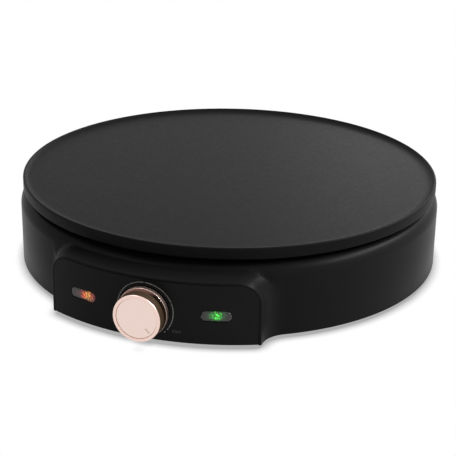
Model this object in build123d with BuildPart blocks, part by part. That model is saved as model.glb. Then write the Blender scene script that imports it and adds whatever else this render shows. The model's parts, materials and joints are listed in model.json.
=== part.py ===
"""Electric crepe maker: a round griddle plate on a low housing, with a control box at the front.

Every piece is its own solid. Heights run up from the worktop. The front is towards -Y.
The origin is the centre of the footprint, at the worktop, so the plate's axis stands a little behind it.
"""

from build123d import *
import os
from math import cos, pi, radians, sin, sqrt, tan

os.makedirs("parts", exist_ok=True)

# Driving dimensions, in millimetres and degrees.
# Cooking plate
plate_radius = 150.0
plate_bottom = 55.5
plate_surface = 61.5
plate_top = 63.5
lip_width = 9.5

# Round housing
body_radius = 152.0
body_bottom = 2.5
shoulder_height = 52.0
shoulder_radius = 8.0
wall = 2.5
deck_opening_radius = 129.0

# Control box and its inset face plate
box_reach = 164.8
box_half_width = 72.9
box_flare_radius = 20.0
box_edge_radius = 15.5
box_front_height = 46.0
box_top_slope = 10.0
panel_rim = 1.5
panel_gap = 0.25
panel_thickness = 2.5
panel_bottom = 3.0

# Knob, on an axis that runs out of the panel
knob_height = 23.0
knob_reach = 179.0
knob_disc_radius = 16.0
knob_skirt_radius = 16.7
cap_radius = 13.8
spindle_radius = 3.0
running_clearance = 0.05

# Indicator windows
window_angle = 16.2
window_height = 22.9
window_length = 20.0
window_width = 7.0
lens_gap = 0.15

# Heating
element_radius = 95.0
element_tube_radius = 4.0
element_gap_angle = 14.0
shield_floor = 41.2
shield_thickness = 0.8
boss_circle_radius = 120.0
boss_radius = 6.0

# Underside
cover_bottom = 3.0
cover_thickness = 2.0
foot_circle_radius = 125.0
foot_radius = 9.0
cover_screw_circle = 145.5

# Cord entry
gland_height = 15.0
gland_bore_radius = 3.6
gland_flange_radius = 8.0
gland_proud = 4.0
gland_reach = body_radius + gland_proud

# Internal wires
wire_radius = 1.2

# Gaps between pieces that fit closely, that are clamped together, and round a screw
close_gap = 0.05
seat_gap = 0.1
screw_gap = 0.15

# The footprint's centre is the origin, so the plate's axis stands behind it.
axis_y = (knob_reach - gland_reach) / 2
plate_axis = Axis((0, axis_y, 0), (0, 0, 1))
knob_axis = Axis((0, axis_y, knob_height), (0, -1, 0))
section = Plane(origin=(0, axis_y, 0), x_dir=(1, 0, 0), z_dir=(0, -1, 0))
knob_section = Plane(origin=(0, axis_y, knob_height), x_dir=(0, -1, 0), z_dir=(-1, 0, 0))

box_run = 190.0
cavity_top = shoulder_height - wall
shield_top = shield_floor + shield_thickness
cover_top = cover_bottom + cover_thickness
panel_back = box_reach - panel_thickness
lug_angles = (45, 135, 225, 315)
cover_screw_angles = (15, 75, 105, 165, 195, 345)


def level(height):
    """The horizontal plane at a height, centred on the plate's axis."""
    return Plane(origin=(0, axis_y, height))


def facing(angle, height, reach):
    """A plane that looks straight out from the plate's axis; angle 0 is the front, positive to the right."""
    out = (sin(radians(angle)), -cos(radians(angle)), 0)
    right = (cos(radians(angle)), sin(radians(angle)), 0)
    centre = (reach * out[0], axis_y + reach * out[1], height)
    return Plane(origin=centre, x_dir=right, z_dir=out)


def spoke(angle):
    """The upright plane that holds the plate's axis and points out at an angle from +X."""
    out = (cos(radians(angle)), sin(radians(angle)), 0)
    side = (sin(radians(angle)), -cos(radians(angle)), 0)
    return Plane(origin=(0, axis_y, 0), x_dir=out, z_dir=side)


def from_axis(point):
    """How far a point stands from the plate's axis, in plan."""
    return sqrt(point.X**2 + (point.Y - axis_y) ** 2)


def on_circle(radius, angle):
    """The plan position at an angle from +X, from the plate's axis."""
    return (radius * cos(radians(angle)), radius * sin(radians(angle)))


def box_plan(inset):
    """Plan of the control box, run on past its face: straight sides that flare into the round body."""
    side = box_half_width - inset
    centre_x = box_half_width + box_flare_radius
    centre_y = -sqrt((body_radius + box_flare_radius) ** 2 - centre_x**2)
    share = (body_radius - inset) / (body_radius + box_flare_radius)
    radius = box_flare_radius + inset
    tangent = Vector(centre_x * share, centre_y * share)
    towards_middle = (Vector(-1, 0) - Vector(centre_x, centre_y).normalized()).normalized()
    middle = Vector(centre_x, centre_y) + towards_middle * radius
    with BuildSketch() as plan:
        with BuildLine():
            Line((0, -box_run), (side, -box_run))
            Line((side, -box_run), (side, centre_y))
            ThreePointArc((side, centre_y), middle, tangent)
            Line(tangent, (0, -body_radius / 2))
            mirror(about=Plane.YZ)
        make_face()
    return plan.sketch


def box_form(inset, reach, bottom):
    """The control box as a solid, inset from its skin: conical top, rounded top sides, curved front."""
    plan = box_plan(inset)
    front_top = box_front_height - inset
    rise = tan(radians(box_top_slope))
    outer_x = box_half_width - box_edge_radius
    with BuildPart() as form:
        with BuildSketch(level(bottom)):
            add(plan)
        extrude(amount=2 * shoulder_height)
        with BuildSketch(section):
            with BuildLine():
                Polyline(
                    (0, bottom),
                    (2 * box_reach, bottom),
                    (2 * box_reach, front_top - rise * box_reach),
                    (0, front_top + rise * box_reach),
                    close=True,
                )
            make_face()
        revolve(axis=plate_axis, mode=Mode.INTERSECT)
        side_edges = form.edges().filter_by(lambda edge: abs(edge.center().X) > outer_x)
        fillet(side_edges.sort_by(Axis.Z)[-4:], box_edge_radius - inset)
        with BuildSketch(level(bottom)):
            Circle(reach)
        extrude(amount=shoulder_height - inset - bottom, mode=Mode.INTERSECT)
    return form.part


def tube(points, radii, radius):
    """A round wire or rod along straight runs joined by tangent arcs; its ends are square to the runs."""
    with BuildPart() as bent:
        with BuildLine():
            path = FilletPolyline(*points, radius=radii)
        with BuildSketch(Plane(origin=path @ 0, z_dir=path % 0)):
            Circle(radius)
        sweep(path=path)
    ratio = bent.part.volume / (path.length * pi * radius**2)
    print("tube of length", round(path.length, 1), "volume over section times length", round(ratio, 4))
    return bent.part


# ---- Cooking plate: cast disc with a low lip, four threaded bosses and a groove for the element
rim_edge_radius = 1.0
crest_width = 2.4
crest_outer_radius = 1.3
crest_inner_radius = 0.9
lip_foot_radius = 4.0
groove_radius = element_tube_radius + close_gap
element_centre = plate_bottom
boss_bottom = 50.0
boss_thread_radius = 2.0
clip_screw_radius = 1.5
clip_angles = (40, 150, 210)
clip_reach = 81.0
bulb_clip_screw = (61.5, -15)
thread_depth = 4.5

with BuildPart() as cooking_plate:
    with BuildSketch(section):
        with BuildLine():
            FilletPolyline(
                (0, plate_bottom),
                (plate_radius, plate_bottom),
                (plate_radius, plate_top),
                (plate_radius - crest_width, plate_top),
                (plate_radius - lip_width, plate_surface),
                (0, plate_surface),
                radius=[rim_edge_radius, crest_outer_radius, crest_inner_radius, lip_foot_radius],
            )
            Line((0, plate_surface), (0, plate_bottom))
        make_face()
    revolve(axis=plate_axis)
    with BuildSketch(level(plate_bottom)):
        with PolarLocations(boss_circle_radius, 4, start_angle=45):
            Circle(boss_radius)
    extrude(amount=boss_bottom - plate_bottom)
    with BuildSketch(level(boss_bottom)):
        with PolarLocations(boss_circle_radius, 4, start_angle=45):
            Circle(boss_thread_radius)
    extrude(amount=plate_bottom - boss_bottom + thread_depth, mode=Mode.SUBTRACT)
    with BuildSketch(section):
        with Locations((element_radius, element_centre)):
            Circle(groove_radius)
    revolve(axis=plate_axis, mode=Mode.SUBTRACT)
    with BuildSketch(level(plate_bottom)):
        with Locations(*[on_circle(clip_reach, angle) for angle in clip_angles], bulb_clip_screw):
            Circle(clip_screw_radius)
    extrude(amount=thread_depth, mode=Mode.SUBTRACT)
cooking_plate.part.label = "cooking_plate"
export_step(cooking_plate.part, "parts/cooking_plate.step")

# ---- Heating element: a sheathed ring in the groove, its ends turned down beside the front
drop_radius = 12.0
element_end = 36.0
pin_end = 29.0
pin_radius = 1.6
end_right = on_circle(element_radius, -90 + element_gap_angle)
drop_tangent = (-sin(radians(-90 + element_gap_angle)), cos(radians(-90 + element_gap_angle)))
drop_x = end_right[0] - drop_radius * drop_tangent[0]
drop_y = end_right[1] - drop_radius * drop_tangent[1]

with BuildPart() as heating_element:
    with BuildSketch(spoke(-90 + element_gap_angle)):
        with Locations((element_radius, element_centre)):
            Circle(element_tube_radius)
    revolve(axis=plate_axis, revolution_arc=360 - 2 * element_gap_angle)
    for side in (1, -1):
        end_angle = -90 + side * element_gap_angle
        end_x, end_y = on_circle(element_radius, end_angle)
        bend_axis = Axis(
            (end_x, axis_y + end_y, element_centre - drop_radius),
            (side * cos(radians(end_angle)), side * sin(radians(end_angle)), 0),
        )
        with BuildSketch(spoke(end_angle)):
            with Locations((element_radius, element_centre)):
                Circle(element_tube_radius)
        revolve(axis=bend_axis, revolution_arc=90)
        with BuildSketch(level(element_centre - drop_radius)):
            with Locations((side * drop_x, drop_y)):
                Circle(element_tube_radius)
        extrude(amount=element_end - element_centre + drop_radius)
heating_element.part.label = "heating_element"
export_step(heating_element.part, "parts/heating_element.step")

with BuildPart() as element_pins:
    with BuildSketch(level(element_end)):
        with Locations((drop_x, drop_y), (-drop_x, drop_y)):
            Circle(pin_radius)
    extrude(amount=pin_end - element_end)
element_pins.part.label = "element_pins"
export_step(element_pins.part, "parts/element_pins.step")

# ---- Clips that hold the element up into its groove, with their screws
clip_thickness = 1.0
clip_half_width = 6.0
clip_flat = plate_bottom - seat_gap
clip_low = element_centre - element_tube_radius - seat_gap
clip_tail = 6.0
clip_arm = 20.0
clip_step_start = 5.0
clip_step_end = 8.5
clip_step_shift = 0.5
clip_head_radius = 2.8
clip_head_height = 2.0
clip_screw_length = 5.0

with BuildPart() as element_clips:
    for angle in clip_angles:
        with BuildSketch(spoke(angle)):
            with BuildLine():
                Polyline(
                    (clip_reach - clip_tail, clip_flat),
                    (clip_reach + clip_step_start, clip_flat),
                    (clip_reach + clip_step_end, clip_low),
                    (clip_reach + clip_arm, clip_low),
                    (clip_reach + clip_arm, clip_low - clip_thickness),
                    (clip_reach + clip_step_end - clip_step_shift, clip_low - clip_thickness),
                    (clip_reach + clip_step_start - clip_step_shift, clip_flat - clip_thickness),
                    (clip_reach - clip_tail, clip_flat - clip_thickness),
                    close=True,
                )
            make_face()
        extrude(amount=clip_half_width, both=True)
    with BuildSketch(level(clip_low)):
        with Locations(*[on_circle(clip_reach, angle) for angle in clip_angles]):
            Circle(clip_screw_radius + screw_gap)
    extrude(amount=2 * element_tube_radius, mode=Mode.SUBTRACT)
element_clips.part.label = "element_clips"
export_step(element_clips.part, "parts/element_clips.step")

clip_head_top = clip_flat - clip_thickness
with BuildPart() as clip_screws:
    with BuildSketch(level(clip_head_top)):
        with Locations(*[on_circle(clip_reach, angle) for angle in clip_angles]):
            Circle(clip_head_radius)
    extrude(amount=-clip_head_height)
    with BuildSketch(level(clip_head_top)):
        with Locations(*[on_circle(clip_reach, angle) for angle in clip_angles]):
            Circle(clip_screw_radius - close_gap)
    extrude(amount=clip_screw_length)
clip_screws.part.label = "clip_screws"
export_step(clip_screws.part, "parts/clip_screws.step")

# ---- Heat shield: a pressed dish that stands on the housing's lugs, its flange over the deck
shield_flange_radius = 140.0
shield_wall_radius = 128.0
shield_flange_height = shoulder_height + seat_gap
lug_hole_radius = 2.3
element_clearance = 2.0
capillary_hole = (52.0, -68.0)
capillary_hole_radius = 4.0
earth_hole_radius = 1.6
earth_point = (-40.0, 70.0)

with BuildPart() as heat_shield:
    with BuildSketch(section):
        with BuildLine():
            Polyline(
                (0, shield_floor),
                (shield_wall_radius, shield_floor),
                (shield_wall_radius, shield_flange_height),
                (shield_flange_radius, shield_flange_height),
                (shield_flange_radius, shield_flange_height + shield_thickness),
                (shield_wall_radius - shield_thickness, shield_flange_height + shield_thickness),
                (shield_wall_radius - shield_thickness, shield_top),
                (0, shield_top),
                close=True,
            )
        make_face()
    revolve(axis=plate_axis)
    with BuildSketch(level(shield_floor)):
        with PolarLocations(boss_circle_radius, 4, start_angle=45):
            Circle(lug_hole_radius)
        with Locations((drop_x, drop_y), (-drop_x, drop_y)):
            Circle(element_tube_radius + element_clearance)
        with Locations(capillary_hole):
            Circle(capillary_hole_radius)
        with Locations(earth_point):
            Circle(earth_hole_radius)
    extrude(amount=shield_thickness, mode=Mode.SUBTRACT)
heat_shield.part.label = "heat_shield"
export_step(heat_shield.part, "parts/heat_shield.step")

# ---- Spacers, screws and washers that carry the plate on the housing's lugs
plate_screw_radius = 1.95
screw_hole_radius = 2.2
spacer_radius = 5.0
washer_radius = 4.5
washer_thickness = 1.0
lug_bottom = 36.0
plate_head_radius = 3.8
plate_head_height = 2.8
thread_end_gap = 1.0
cross_length = 5.0
cross_width = 0.9
cross_depth = 1.4

with BuildPart() as plate_spacers:
    with BuildSketch(level(shield_top)):
        with PolarLocations(boss_circle_radius, 4, start_angle=45):
            Circle(spacer_radius)
            Circle(screw_hole_radius, mode=Mode.SUBTRACT)
    extrude(amount=boss_bottom - shield_top)
plate_spacers.part.label = "plate_spacers"
export_step(plate_spacers.part, "parts/plate_spacers.step")

with BuildPart() as plate_washers:
    with BuildSketch(level(lug_bottom)):
        with PolarLocations(boss_circle_radius, 4, start_angle=45):
            Circle(washer_radius)
            Circle(screw_hole_radius, mode=Mode.SUBTRACT)
    extrude(amount=-washer_thickness)
plate_washers.part.label = "plate_washers"
export_step(plate_washers.part, "parts/plate_washers.step")

with BuildPart() as plate_screws:
    with BuildSketch(level(lug_bottom - washer_thickness)):
        with PolarLocations(boss_circle_radius, 4, start_angle=45):
            Circle(plate_head_radius)
    extrude(amount=-plate_head_height)
    with BuildSketch(level(lug_bottom - washer_thickness)):
        with PolarLocations(boss_circle_radius, 4, start_angle=45):
            Circle(plate_screw_radius)
    extrude(amount=plate_bottom + thread_depth - thread_end_gap - lug_bottom + washer_thickness)
    with BuildSketch(level(lug_bottom - washer_thickness - plate_head_height)):
        with PolarLocations(boss_circle_radius, 4, start_angle=45):
            Rectangle(cross_length, cross_width)
            Rectangle(cross_width, cross_length)
    extrude(amount=cross_depth, mode=Mode.SUBTRACT)
plate_screws.part.label = "plate_screws"
export_step(plate_screws.part, "parts/plate_screws.step")

# ---- Housing: one moulded shell with a deck under the plate and an open-fronted control box
outer_box = box_form(0, box_reach, body_bottom)
inner_box = box_form(wall, panel_back, 0)
panel_opening = box_form(panel_rim, box_reach + 2 * wall, 0)
bottom_edge_radius = 0.3
boss_pilot_radius = 1.5
cover_boss_radius = 4.5
cover_boss_top = 20.0
lug_reach = 112.0
lug_width = 14.0
rib_reach = 128.0
gland_neck_radius = 6.0

with BuildPart() as panel_slot:
    add(panel_opening)
    with BuildSketch(level(0)):
        Circle(panel_back)
    extrude(amount=2 * shoulder_height, mode=Mode.SUBTRACT)


def body_form(inset, bottom):
    """The round body as a solid, inset from its outer skin, with its rounded shoulder."""
    radius = body_radius - inset
    top = shoulder_height - inset
    with BuildPart() as form:
        with BuildSketch(section):
            with BuildLine():
                FilletPolyline(
                    (0, bottom),
                    (radius, bottom),
                    (radius, top),
                    (0, top),
                    radius=[bottom_edge_radius, shoulder_radius - inset],
                )
                Line((0, top), (0, bottom))
            make_face()
        revolve(axis=plate_axis)
    return form.part


outer_body = body_form(0, body_bottom)
inner_body = body_form(wall, 0)

with BuildPart() as housing:
    add(outer_body)
    add(outer_box)
    add(inner_body, mode=Mode.SUBTRACT)
    add(inner_box, mode=Mode.SUBTRACT)
    add(panel_slot.part, mode=Mode.SUBTRACT)
    with BuildSketch(level(cavity_top)):
        Circle(deck_opening_radius)
    extrude(amount=2 * wall, mode=Mode.SUBTRACT)
    # Lugs that the plate's screws come up through, each on a rib from the wall
    for angle in lug_angles:
        with BuildSketch(spoke(angle)):
            with BuildLine():
                Polyline(
                    (lug_reach, lug_bottom),
                    (lug_reach, shield_floor),
                    (body_radius - wall / 2, shield_floor),
                    (body_radius - wall / 2, lug_bottom),
                    close=True,
                )
            make_face()
        extrude(amount=lug_width / 2, both=True)
        with BuildSketch(spoke(angle)):
            with BuildLine():
                Polyline(
                    (rib_reach, lug_bottom),
                    (body_radius - wall / 2, lug_bottom),
                    (body_radius - wall / 2, cover_boss_top),
                    close=True,
                )
            make_face()
        extrude(amount=wall / 2, both=True)
    with BuildSketch(level(lug_bottom)):
        with PolarLocations(boss_circle_radius, 4, start_angle=45):
            Circle(lug_hole_radius)
    extrude(amount=shield_floor - lug_bottom, mode=Mode.SUBTRACT)
    # Bosses for the bottom cover's screws, half sunk into the wall
    with BuildSketch(level(cover_top)):
        with Locations(*[on_circle(cover_screw_circle, angle) for angle in cover_screw_angles]):
            Circle(cover_boss_radius)
    extrude(amount=cover_boss_top - cover_top)
    with BuildSketch(level(cover_top)):
        with Locations(*[on_circle(cover_screw_circle, angle) for angle in cover_screw_angles]):
            Circle(boss_pilot_radius)
    extrude(amount=cover_boss_top - cover_top - wall, mode=Mode.SUBTRACT)
    # Round entry for the cord gland
    with BuildSketch(facing(180, gland_height, body_radius - 4 * wall)):
        Circle(gland_neck_radius + seat_gap)
    extrude(amount=6 * wall, mode=Mode.SUBTRACT)
housing.part.label = "housing"
export_step(housing.part, "parts/housing.step")

# ---- Control panel: curved face plate in the box's open front
panel_form = box_form(panel_rim + panel_gap, box_reach, panel_bottom)
panel_round = 0.3
spindle_hole_radius = 6.0
bracket_posts = [(23, 12), (-23, 12), (23, -12), (-23, -12)]
bracket_reach = 154.0
post_radius = 3.5
post_sink = 3.5
post_pilot_depth = 6.0
holder_posts = [(0, 9.5), (0, -9.5)]
holder_post_radius = 2.5
holder_pilot_radius = 1.1
holder_reach = 156.0
hole_start = panel_back - 2 * panel_thickness
hole_run = 4 * panel_thickness

with BuildPart() as control_panel:
    add(panel_form)
    with BuildSketch(level(0)):
        Circle(panel_back)
    extrude(amount=2 * shoulder_height, mode=Mode.SUBTRACT)
    with BuildSketch(facing(0, knob_height, bracket_reach)):
        with Locations(*bracket_posts):
            Circle(post_radius)
    extrude(amount=box_reach - post_sink - bracket_reach)
    with BuildSketch(facing(0, knob_height, bracket_reach)):
        with Locations(*bracket_posts):
            Circle(boss_pilot_radius)
    extrude(amount=post_pilot_depth, mode=Mode.SUBTRACT)
    with BuildSketch(facing(0, knob_height, hole_start)):
        Circle(spindle_hole_radius)
    extrude(amount=hole_run, mode=Mode.SUBTRACT)
    for angle in (-window_angle, window_angle):
        with BuildSketch(facing(angle, window_height, hole_start)):
            SlotOverall(window_length + 2 * lens_gap, window_width + 2 * lens_gap)
        extrude(amount=hole_run, mode=Mode.SUBTRACT)
        with BuildSketch(facing(angle, window_height, holder_reach)):
            with Locations(*holder_posts):
                Circle(holder_post_radius)
        extrude(amount=panel_back - holder_reach)
        with BuildSketch(facing(angle, window_height, holder_reach)):
            with Locations(*holder_posts):
                Circle(holder_pilot_radius)
        extrude(amount=post_pilot_depth, mode=Mode.SUBTRACT)
    # Every edge that lies on the curved front, round the outline and the openings, is slightly rounded
    front_edges = control_panel.edges().filter_by(
        lambda edge: min(from_axis(edge @ share) for share in (0, 0.5, 1)) > box_reach - close_gap
    )
    fillet(front_edges, panel_round)
control_panel.part.label = "control_panel"
export_step(control_panel.part, "parts/control_panel.step")

# ---- Indicator windows: a lens, a holder and a lamp behind each slot in the panel
lens_proud = 0.3
lens_edge = 0.6
lens_flange_gap = 0.55
lens_flange = panel_back - lens_flange_gap
lens_flange_thickness = 1.4
lens_flange_margin = 2.0
holder_front = lens_flange - lens_flange_thickness - close_gap
holder_depth = 7.5
holder_wall = 1.2
cup_margin = 1.0
ear_width = 6.0
ear_front = holder_reach - close_gap
ear_back = holder_reach - 2.0
holder_screw_radius = 1.05
holder_screw_length = 7.0
holder_head_radius = 2.0
holder_head_height = 1.5
lamp_radius = 2.2
lamp_end_radius = 1.9
lamp_length = 13.0
lamp_inset = 3.6
lamp_reach = holder_front - lamp_inset
leg_offset = 4.0


def lens(angle):
    """A clear slot-shaped window, a little proud of the panel, with a wider flange behind it."""
    look = facing(angle, window_height, lens_flange)
    with BuildPart() as window:
        with BuildSketch(look):
            SlotOverall(window_length, window_width)
        extrude(amount=box_reach + lens_proud - lens_flange)
        chamfer(window.faces().sort_by(Axis((0, 0, 0), look.z_dir))[-1].edges(), lens_edge)
        with BuildSketch(look):
            SlotOverall(window_length + 2 * lens_flange_margin, window_width + 2 * lens_flange_margin)
        extrude(amount=-lens_flange_thickness)
    return window.part


def lamp_holder(angle):
    """An open-fronted cup behind the lens, with two ears that are screwed to the panel's posts."""
    look = facing(angle, window_height, holder_front)
    with BuildPart() as holder:
        with BuildSketch(look):
            SlotOverall(window_length + 2 * lens_flange_margin, window_width + 2 * lens_flange_margin)
        extrude(amount=-holder_depth)
        with BuildSketch(facing(angle, window_height, ear_front)):
            SlotOverall(2 * holder_posts[0][1] + ear_width, ear_width, rotation=90)
        extrude(amount=ear_back - ear_front)
        with BuildSketch(look):
            SlotOverall(window_length + 2 * cup_margin, window_width + 2 * cup_margin)
        extrude(amount=holder_wall - holder_depth, mode=Mode.SUBTRACT)
        with BuildSketch(facing(angle, window_height, holder_reach)):
            with Locations(*holder_posts):
                Circle(holder_screw_radius + screw_gap)
        extrude(amount=ear_back - holder_reach, mode=Mode.SUBTRACT)
        with BuildSketch(facing(angle, window_height, holder_front - holder_depth)):
            with Locations((leg_offset, 0), (-leg_offset, 0)):
                Circle(wire_radius + seat_gap)
        extrude(amount=holder_wall, mode=Mode.SUBTRACT)
    return holder.part


def lamp(angle):
    """A small glass tube lamp that lies along its window."""
    middle = facing(angle, window_height, lamp_reach)
    along = Plane(origin=middle.origin - middle.x_dir * lamp_length / 2, z_dir=middle.x_dir)
    with BuildPart() as bulb:
        with BuildSketch(along):
            Circle(lamp_radius)
        extrude(amount=lamp_length)
        fillet(bulb.edges().filter_by(GeomType.CIRCLE), lamp_end_radius)
    return bulb.part


orange_lens = lens(-window_angle)
orange_lens.label = "orange_lens"
export_step(orange_lens, "parts/orange_lens.step")

green_lens = lens(window_angle)
green_lens.label = "green_lens"
export_step(green_lens, "parts/green_lens.step")

for name, angle in (("orange", -window_angle), ("green", window_angle)):
    holder = lamp_holder(angle)
    holder.label = f"{name}_lamp_holder"
    export_step(holder, f"parts/{name}_lamp_holder.step")
    bulb = lamp(angle)
    bulb.label = f"{name}_lamp"
    export_step(bulb, f"parts/{name}_lamp.step")

with BuildPart() as holder_screws:
    for angle in (-window_angle, window_angle):
        with BuildSketch(facing(angle, window_height, ear_back)):
            with Locations(*holder_posts):
                Circle(holder_head_radius)
        extrude(amount=-holder_head_height)
        with BuildSketch(facing(angle, window_height, ear_back)):
            with Locations(*holder_posts):
                Circle(holder_screw_radius - close_gap)
        extrude(amount=holder_screw_length)
holder_screws.part.label = "holder_screws"
export_step(holder_screws.part, "parts/holder_screws.step")

# ---- Thermostat: bracket behind the panel, body with a bushing for the spindle, ceramic base with blades
bracket_width = 55.0
bracket_height = 33.0
bracket_corner = 4.0
bracket_thickness = 1.0
bracket_front = bracket_reach - seat_gap
bracket_back = bracket_front - bracket_thickness
bracket_head_radius = 3.0
bracket_head_height = 2.0
bracket_screw_length = 6.5
bushing_radius = 5.0
bushing_front = 158.0
thermostat_width = 36.0
thermostat_height = 27.0
thermostat_corner = 3.0
thermostat_back = 129.0
bore_floor = thermostat_back + 8.0
thermostat_screw = 13.0
thermostat_thread_radius = 1.8
thermostat_thread_depth = 6.0
thermostat_head_radius = 3.2
thermostat_head_height = 2.0
ceramic_width = 26.0
ceramic_height = 22.0
ceramic_corner = 2.0
ceramic_back = 122.0
blade_end = 114.0
blade_height = 14.5
blade_offset = 9.0
blade_width = 6.3
blade_thickness = 0.8
lamp_blade_width = 2.8
lamp_blades = ((9.0, 31.0), (3.5, 26.5))

with BuildPart() as thermostat_bracket:
    with BuildSketch(facing(0, knob_height, bracket_front)):
        RectangleRounded(bracket_width, bracket_height, bracket_corner)
        Circle(bushing_radius + seat_gap, mode=Mode.SUBTRACT)
        with Locations(*bracket_posts):
            Circle(boss_pilot_radius + screw_gap, mode=Mode.SUBTRACT)
        with Locations((thermostat_screw, 0), (-thermostat_screw, 0)):
            Circle(screw_hole_radius, mode=Mode.SUBTRACT)
    extrude(amount=-bracket_thickness)
thermostat_bracket.part.label = "thermostat_bracket"
export_step(thermostat_bracket.part, "parts/thermostat_bracket.step")

with BuildPart() as bracket_screws:
    with BuildSketch(facing(0, knob_height, bracket_back)):
        with Locations(*bracket_posts):
            Circle(bracket_head_radius)
    extrude(amount=-bracket_head_height)
    with BuildSketch(facing(0, knob_height, bracket_back)):
        with Locations(*bracket_posts):
            Circle(boss_pilot_radius - close_gap)
    extrude(amount=bracket_screw_length)
bracket_screws.part.label = "bracket_screws"
export_step(bracket_screws.part, "parts/bracket_screws.step")

with BuildPart() as thermostat_body:
    with BuildSketch(facing(0, knob_height, bracket_back)):
        RectangleRounded(thermostat_width, thermostat_height, thermostat_corner)
    extrude(amount=thermostat_back - bracket_back)
    with BuildSketch(facing(0, knob_height, bracket_back)):
        Circle(bushing_radius)
    extrude(amount=bushing_front - bracket_back)
    with BuildSketch(facing(0, knob_height, bushing_front)):
        Circle(spindle_radius + running_clearance)
    extrude(amount=bore_floor - bushing_front, mode=Mode.SUBTRACT)
    with BuildSketch(facing(0, knob_height, bracket_back)):
        with Locations((thermostat_screw, 0), (-thermostat_screw, 0)):
            Circle(thermostat_thread_radius)
    extrude(amount=-thermostat_thread_depth, mode=Mode.SUBTRACT)
thermostat_body.part.label = "thermostat_body"
export_step(thermostat_body.part, "parts/thermostat_body.step")

with BuildPart() as thermostat_screws:
    with BuildSketch(facing(0, knob_height, bracket_front)):
        with Locations((thermostat_screw, 0), (-thermostat_screw, 0)):
            Circle(thermostat_head_radius)
    extrude(amount=thermostat_head_height)
    with BuildSketch(facing(0, knob_height, bracket_front)):
        with Locations((thermostat_screw, 0), (-thermostat_screw, 0)):
            Circle(thermostat_thread_radius - close_gap)
    extrude(amount=-thermostat_thread_depth)
thermostat_screws.part.label = "thermostat_screws"
export_step(thermostat_screws.part, "parts/thermostat_screws.step")

with BuildPart() as thermostat_base:
    with BuildSketch(facing(0, knob_height, thermostat_back)):
        RectangleRounded(ceramic_width, ceramic_height, ceramic_corner)
    extrude(amount=ceramic_back - thermostat_back)
thermostat_base.part.label = "thermostat_base"
export_step(thermostat_base.part, "parts/thermostat_base.step")

with BuildPart() as thermostat_blades:
    with BuildSketch(facing(0, 0, ceramic_back)):
        with Locations((blade_offset, blade_height), (-blade_offset, blade_height)):
            Rectangle(blade_width, blade_thickness)
        for across, up in lamp_blades:
            with Locations((across, up), (-across, up)):
                Rectangle(lamp_blade_width, blade_thickness)
    extrude(amount=blade_end - ceramic_back)
thermostat_blades.part.label = "thermostat_blades"
export_step(thermostat_blades.part, "parts/thermostat_blades.step")

# ---- Turning parts: spindle with a flat, spring strip, knob and its cap
spindle_inner = bore_floor + 0.5
spindle_front = 174.5
spindle_flat = 1.6
spindle_tip_gap = 0.3
flat_start = 163.0
knob_back = box_reach + 0.6
skirt_front = box_reach + 4.2
waist_radius = 13.6
disc_back = 171.6
skirt_back_round = 0.4
skirt_front_round = 0.5
waist_round = 0.8
disc_back_round = 0.5
rim_outer_round = 0.8
rim_inner_round = 0.3
knob_wall = 1.8
hollow_end = disc_back + 3.0
hub_radius = 6.0
cap_back = knob_reach - 1.5
cap_front = knob_reach - 0.4
cap_round = 0.3
spring_thickness = 0.4
spring_width = 4.0
spring_inset = 1.0
key_depth = spindle_flat - spring_thickness - seat_gap

with BuildPart() as thermostat_spindle:
    with BuildSketch(facing(0, knob_height, spindle_inner)):
        Circle(spindle_radius)
    extrude(amount=spindle_front - spindle_inner)
    with BuildSketch(facing(0, knob_height, flat_start)):
        with Locations((0, spindle_radius - spindle_flat / 2)):
            Rectangle(2 * spindle_radius, spindle_flat)
    extrude(amount=spindle_front - flat_start, mode=Mode.SUBTRACT)
thermostat_spindle.part.label = "thermostat_spindle"
export_step(thermostat_spindle.part, "parts/thermostat_spindle.step")

with BuildPart() as knob:
    with BuildSketch(knob_section):
        with BuildLine():
            FilletPolyline(
                (knob_back, 0),
                (knob_back, knob_skirt_radius),
                (skirt_front, knob_skirt_radius),
                (skirt_front, waist_radius),
                (disc_back, waist_radius),
                (disc_back, knob_disc_radius),
                (knob_reach, knob_disc_radius),
                (knob_reach, cap_radius + close_gap),
                (cap_back, cap_radius + close_gap),
                (cap_back, 0),
                radius=[
                    skirt_back_round,
                    skirt_front_round,
                    waist_round,
                    waist_round,
                    disc_back_round,
                    rim_outer_round,
                    rim_inner_round,
                    0,
                ],
            )
            Line((cap_back, 0), (knob_back, 0))
        make_face()
    revolve(axis=knob_axis)
    with BuildSketch(facing(0, knob_height, knob_back)):
        Circle(waist_radius - knob_wall)
        Circle(hub_radius, mode=Mode.SUBTRACT)
    extrude(amount=hollow_end - knob_back, mode=Mode.SUBTRACT)
    with BuildSketch(facing(0, knob_height, knob_back)):
        Circle(spindle_radius + running_clearance)
        with Locations((0, spindle_radius)):
            Rectangle(2 * spindle_radius, 2 * key_depth, mode=Mode.SUBTRACT)
    extrude(amount=spindle_front + spindle_tip_gap - knob_back, mode=Mode.SUBTRACT)
knob.part.label = "knob"
export_step(knob.part, "parts/knob.step")

with BuildPart() as knob_spring:
    with BuildSketch(facing(0, knob_height, knob_back + spring_inset)):
        with Locations((0, spindle_radius - spindle_flat + spring_thickness / 2 + close_gap)):
            Rectangle(spring_width, spring_thickness)
    extrude(amount=spindle_front - knob_back - 2 * spring_inset)
knob_spring.part.label = "knob_spring"
export_step(knob_spring.part, "parts/knob_spring.step")

with BuildPart() as knob_cap:
    with BuildSketch(facing(0, knob_height, cap_back)):
        Circle(cap_radius)
    extrude(amount=cap_front - cap_back)
    fillet(knob_cap.edges().sort_by(Axis.Y)[0], cap_round)
knob_cap.part.label = "knob_cap"
export_step(knob_cap.part, "parts/knob_cap.step")

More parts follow.
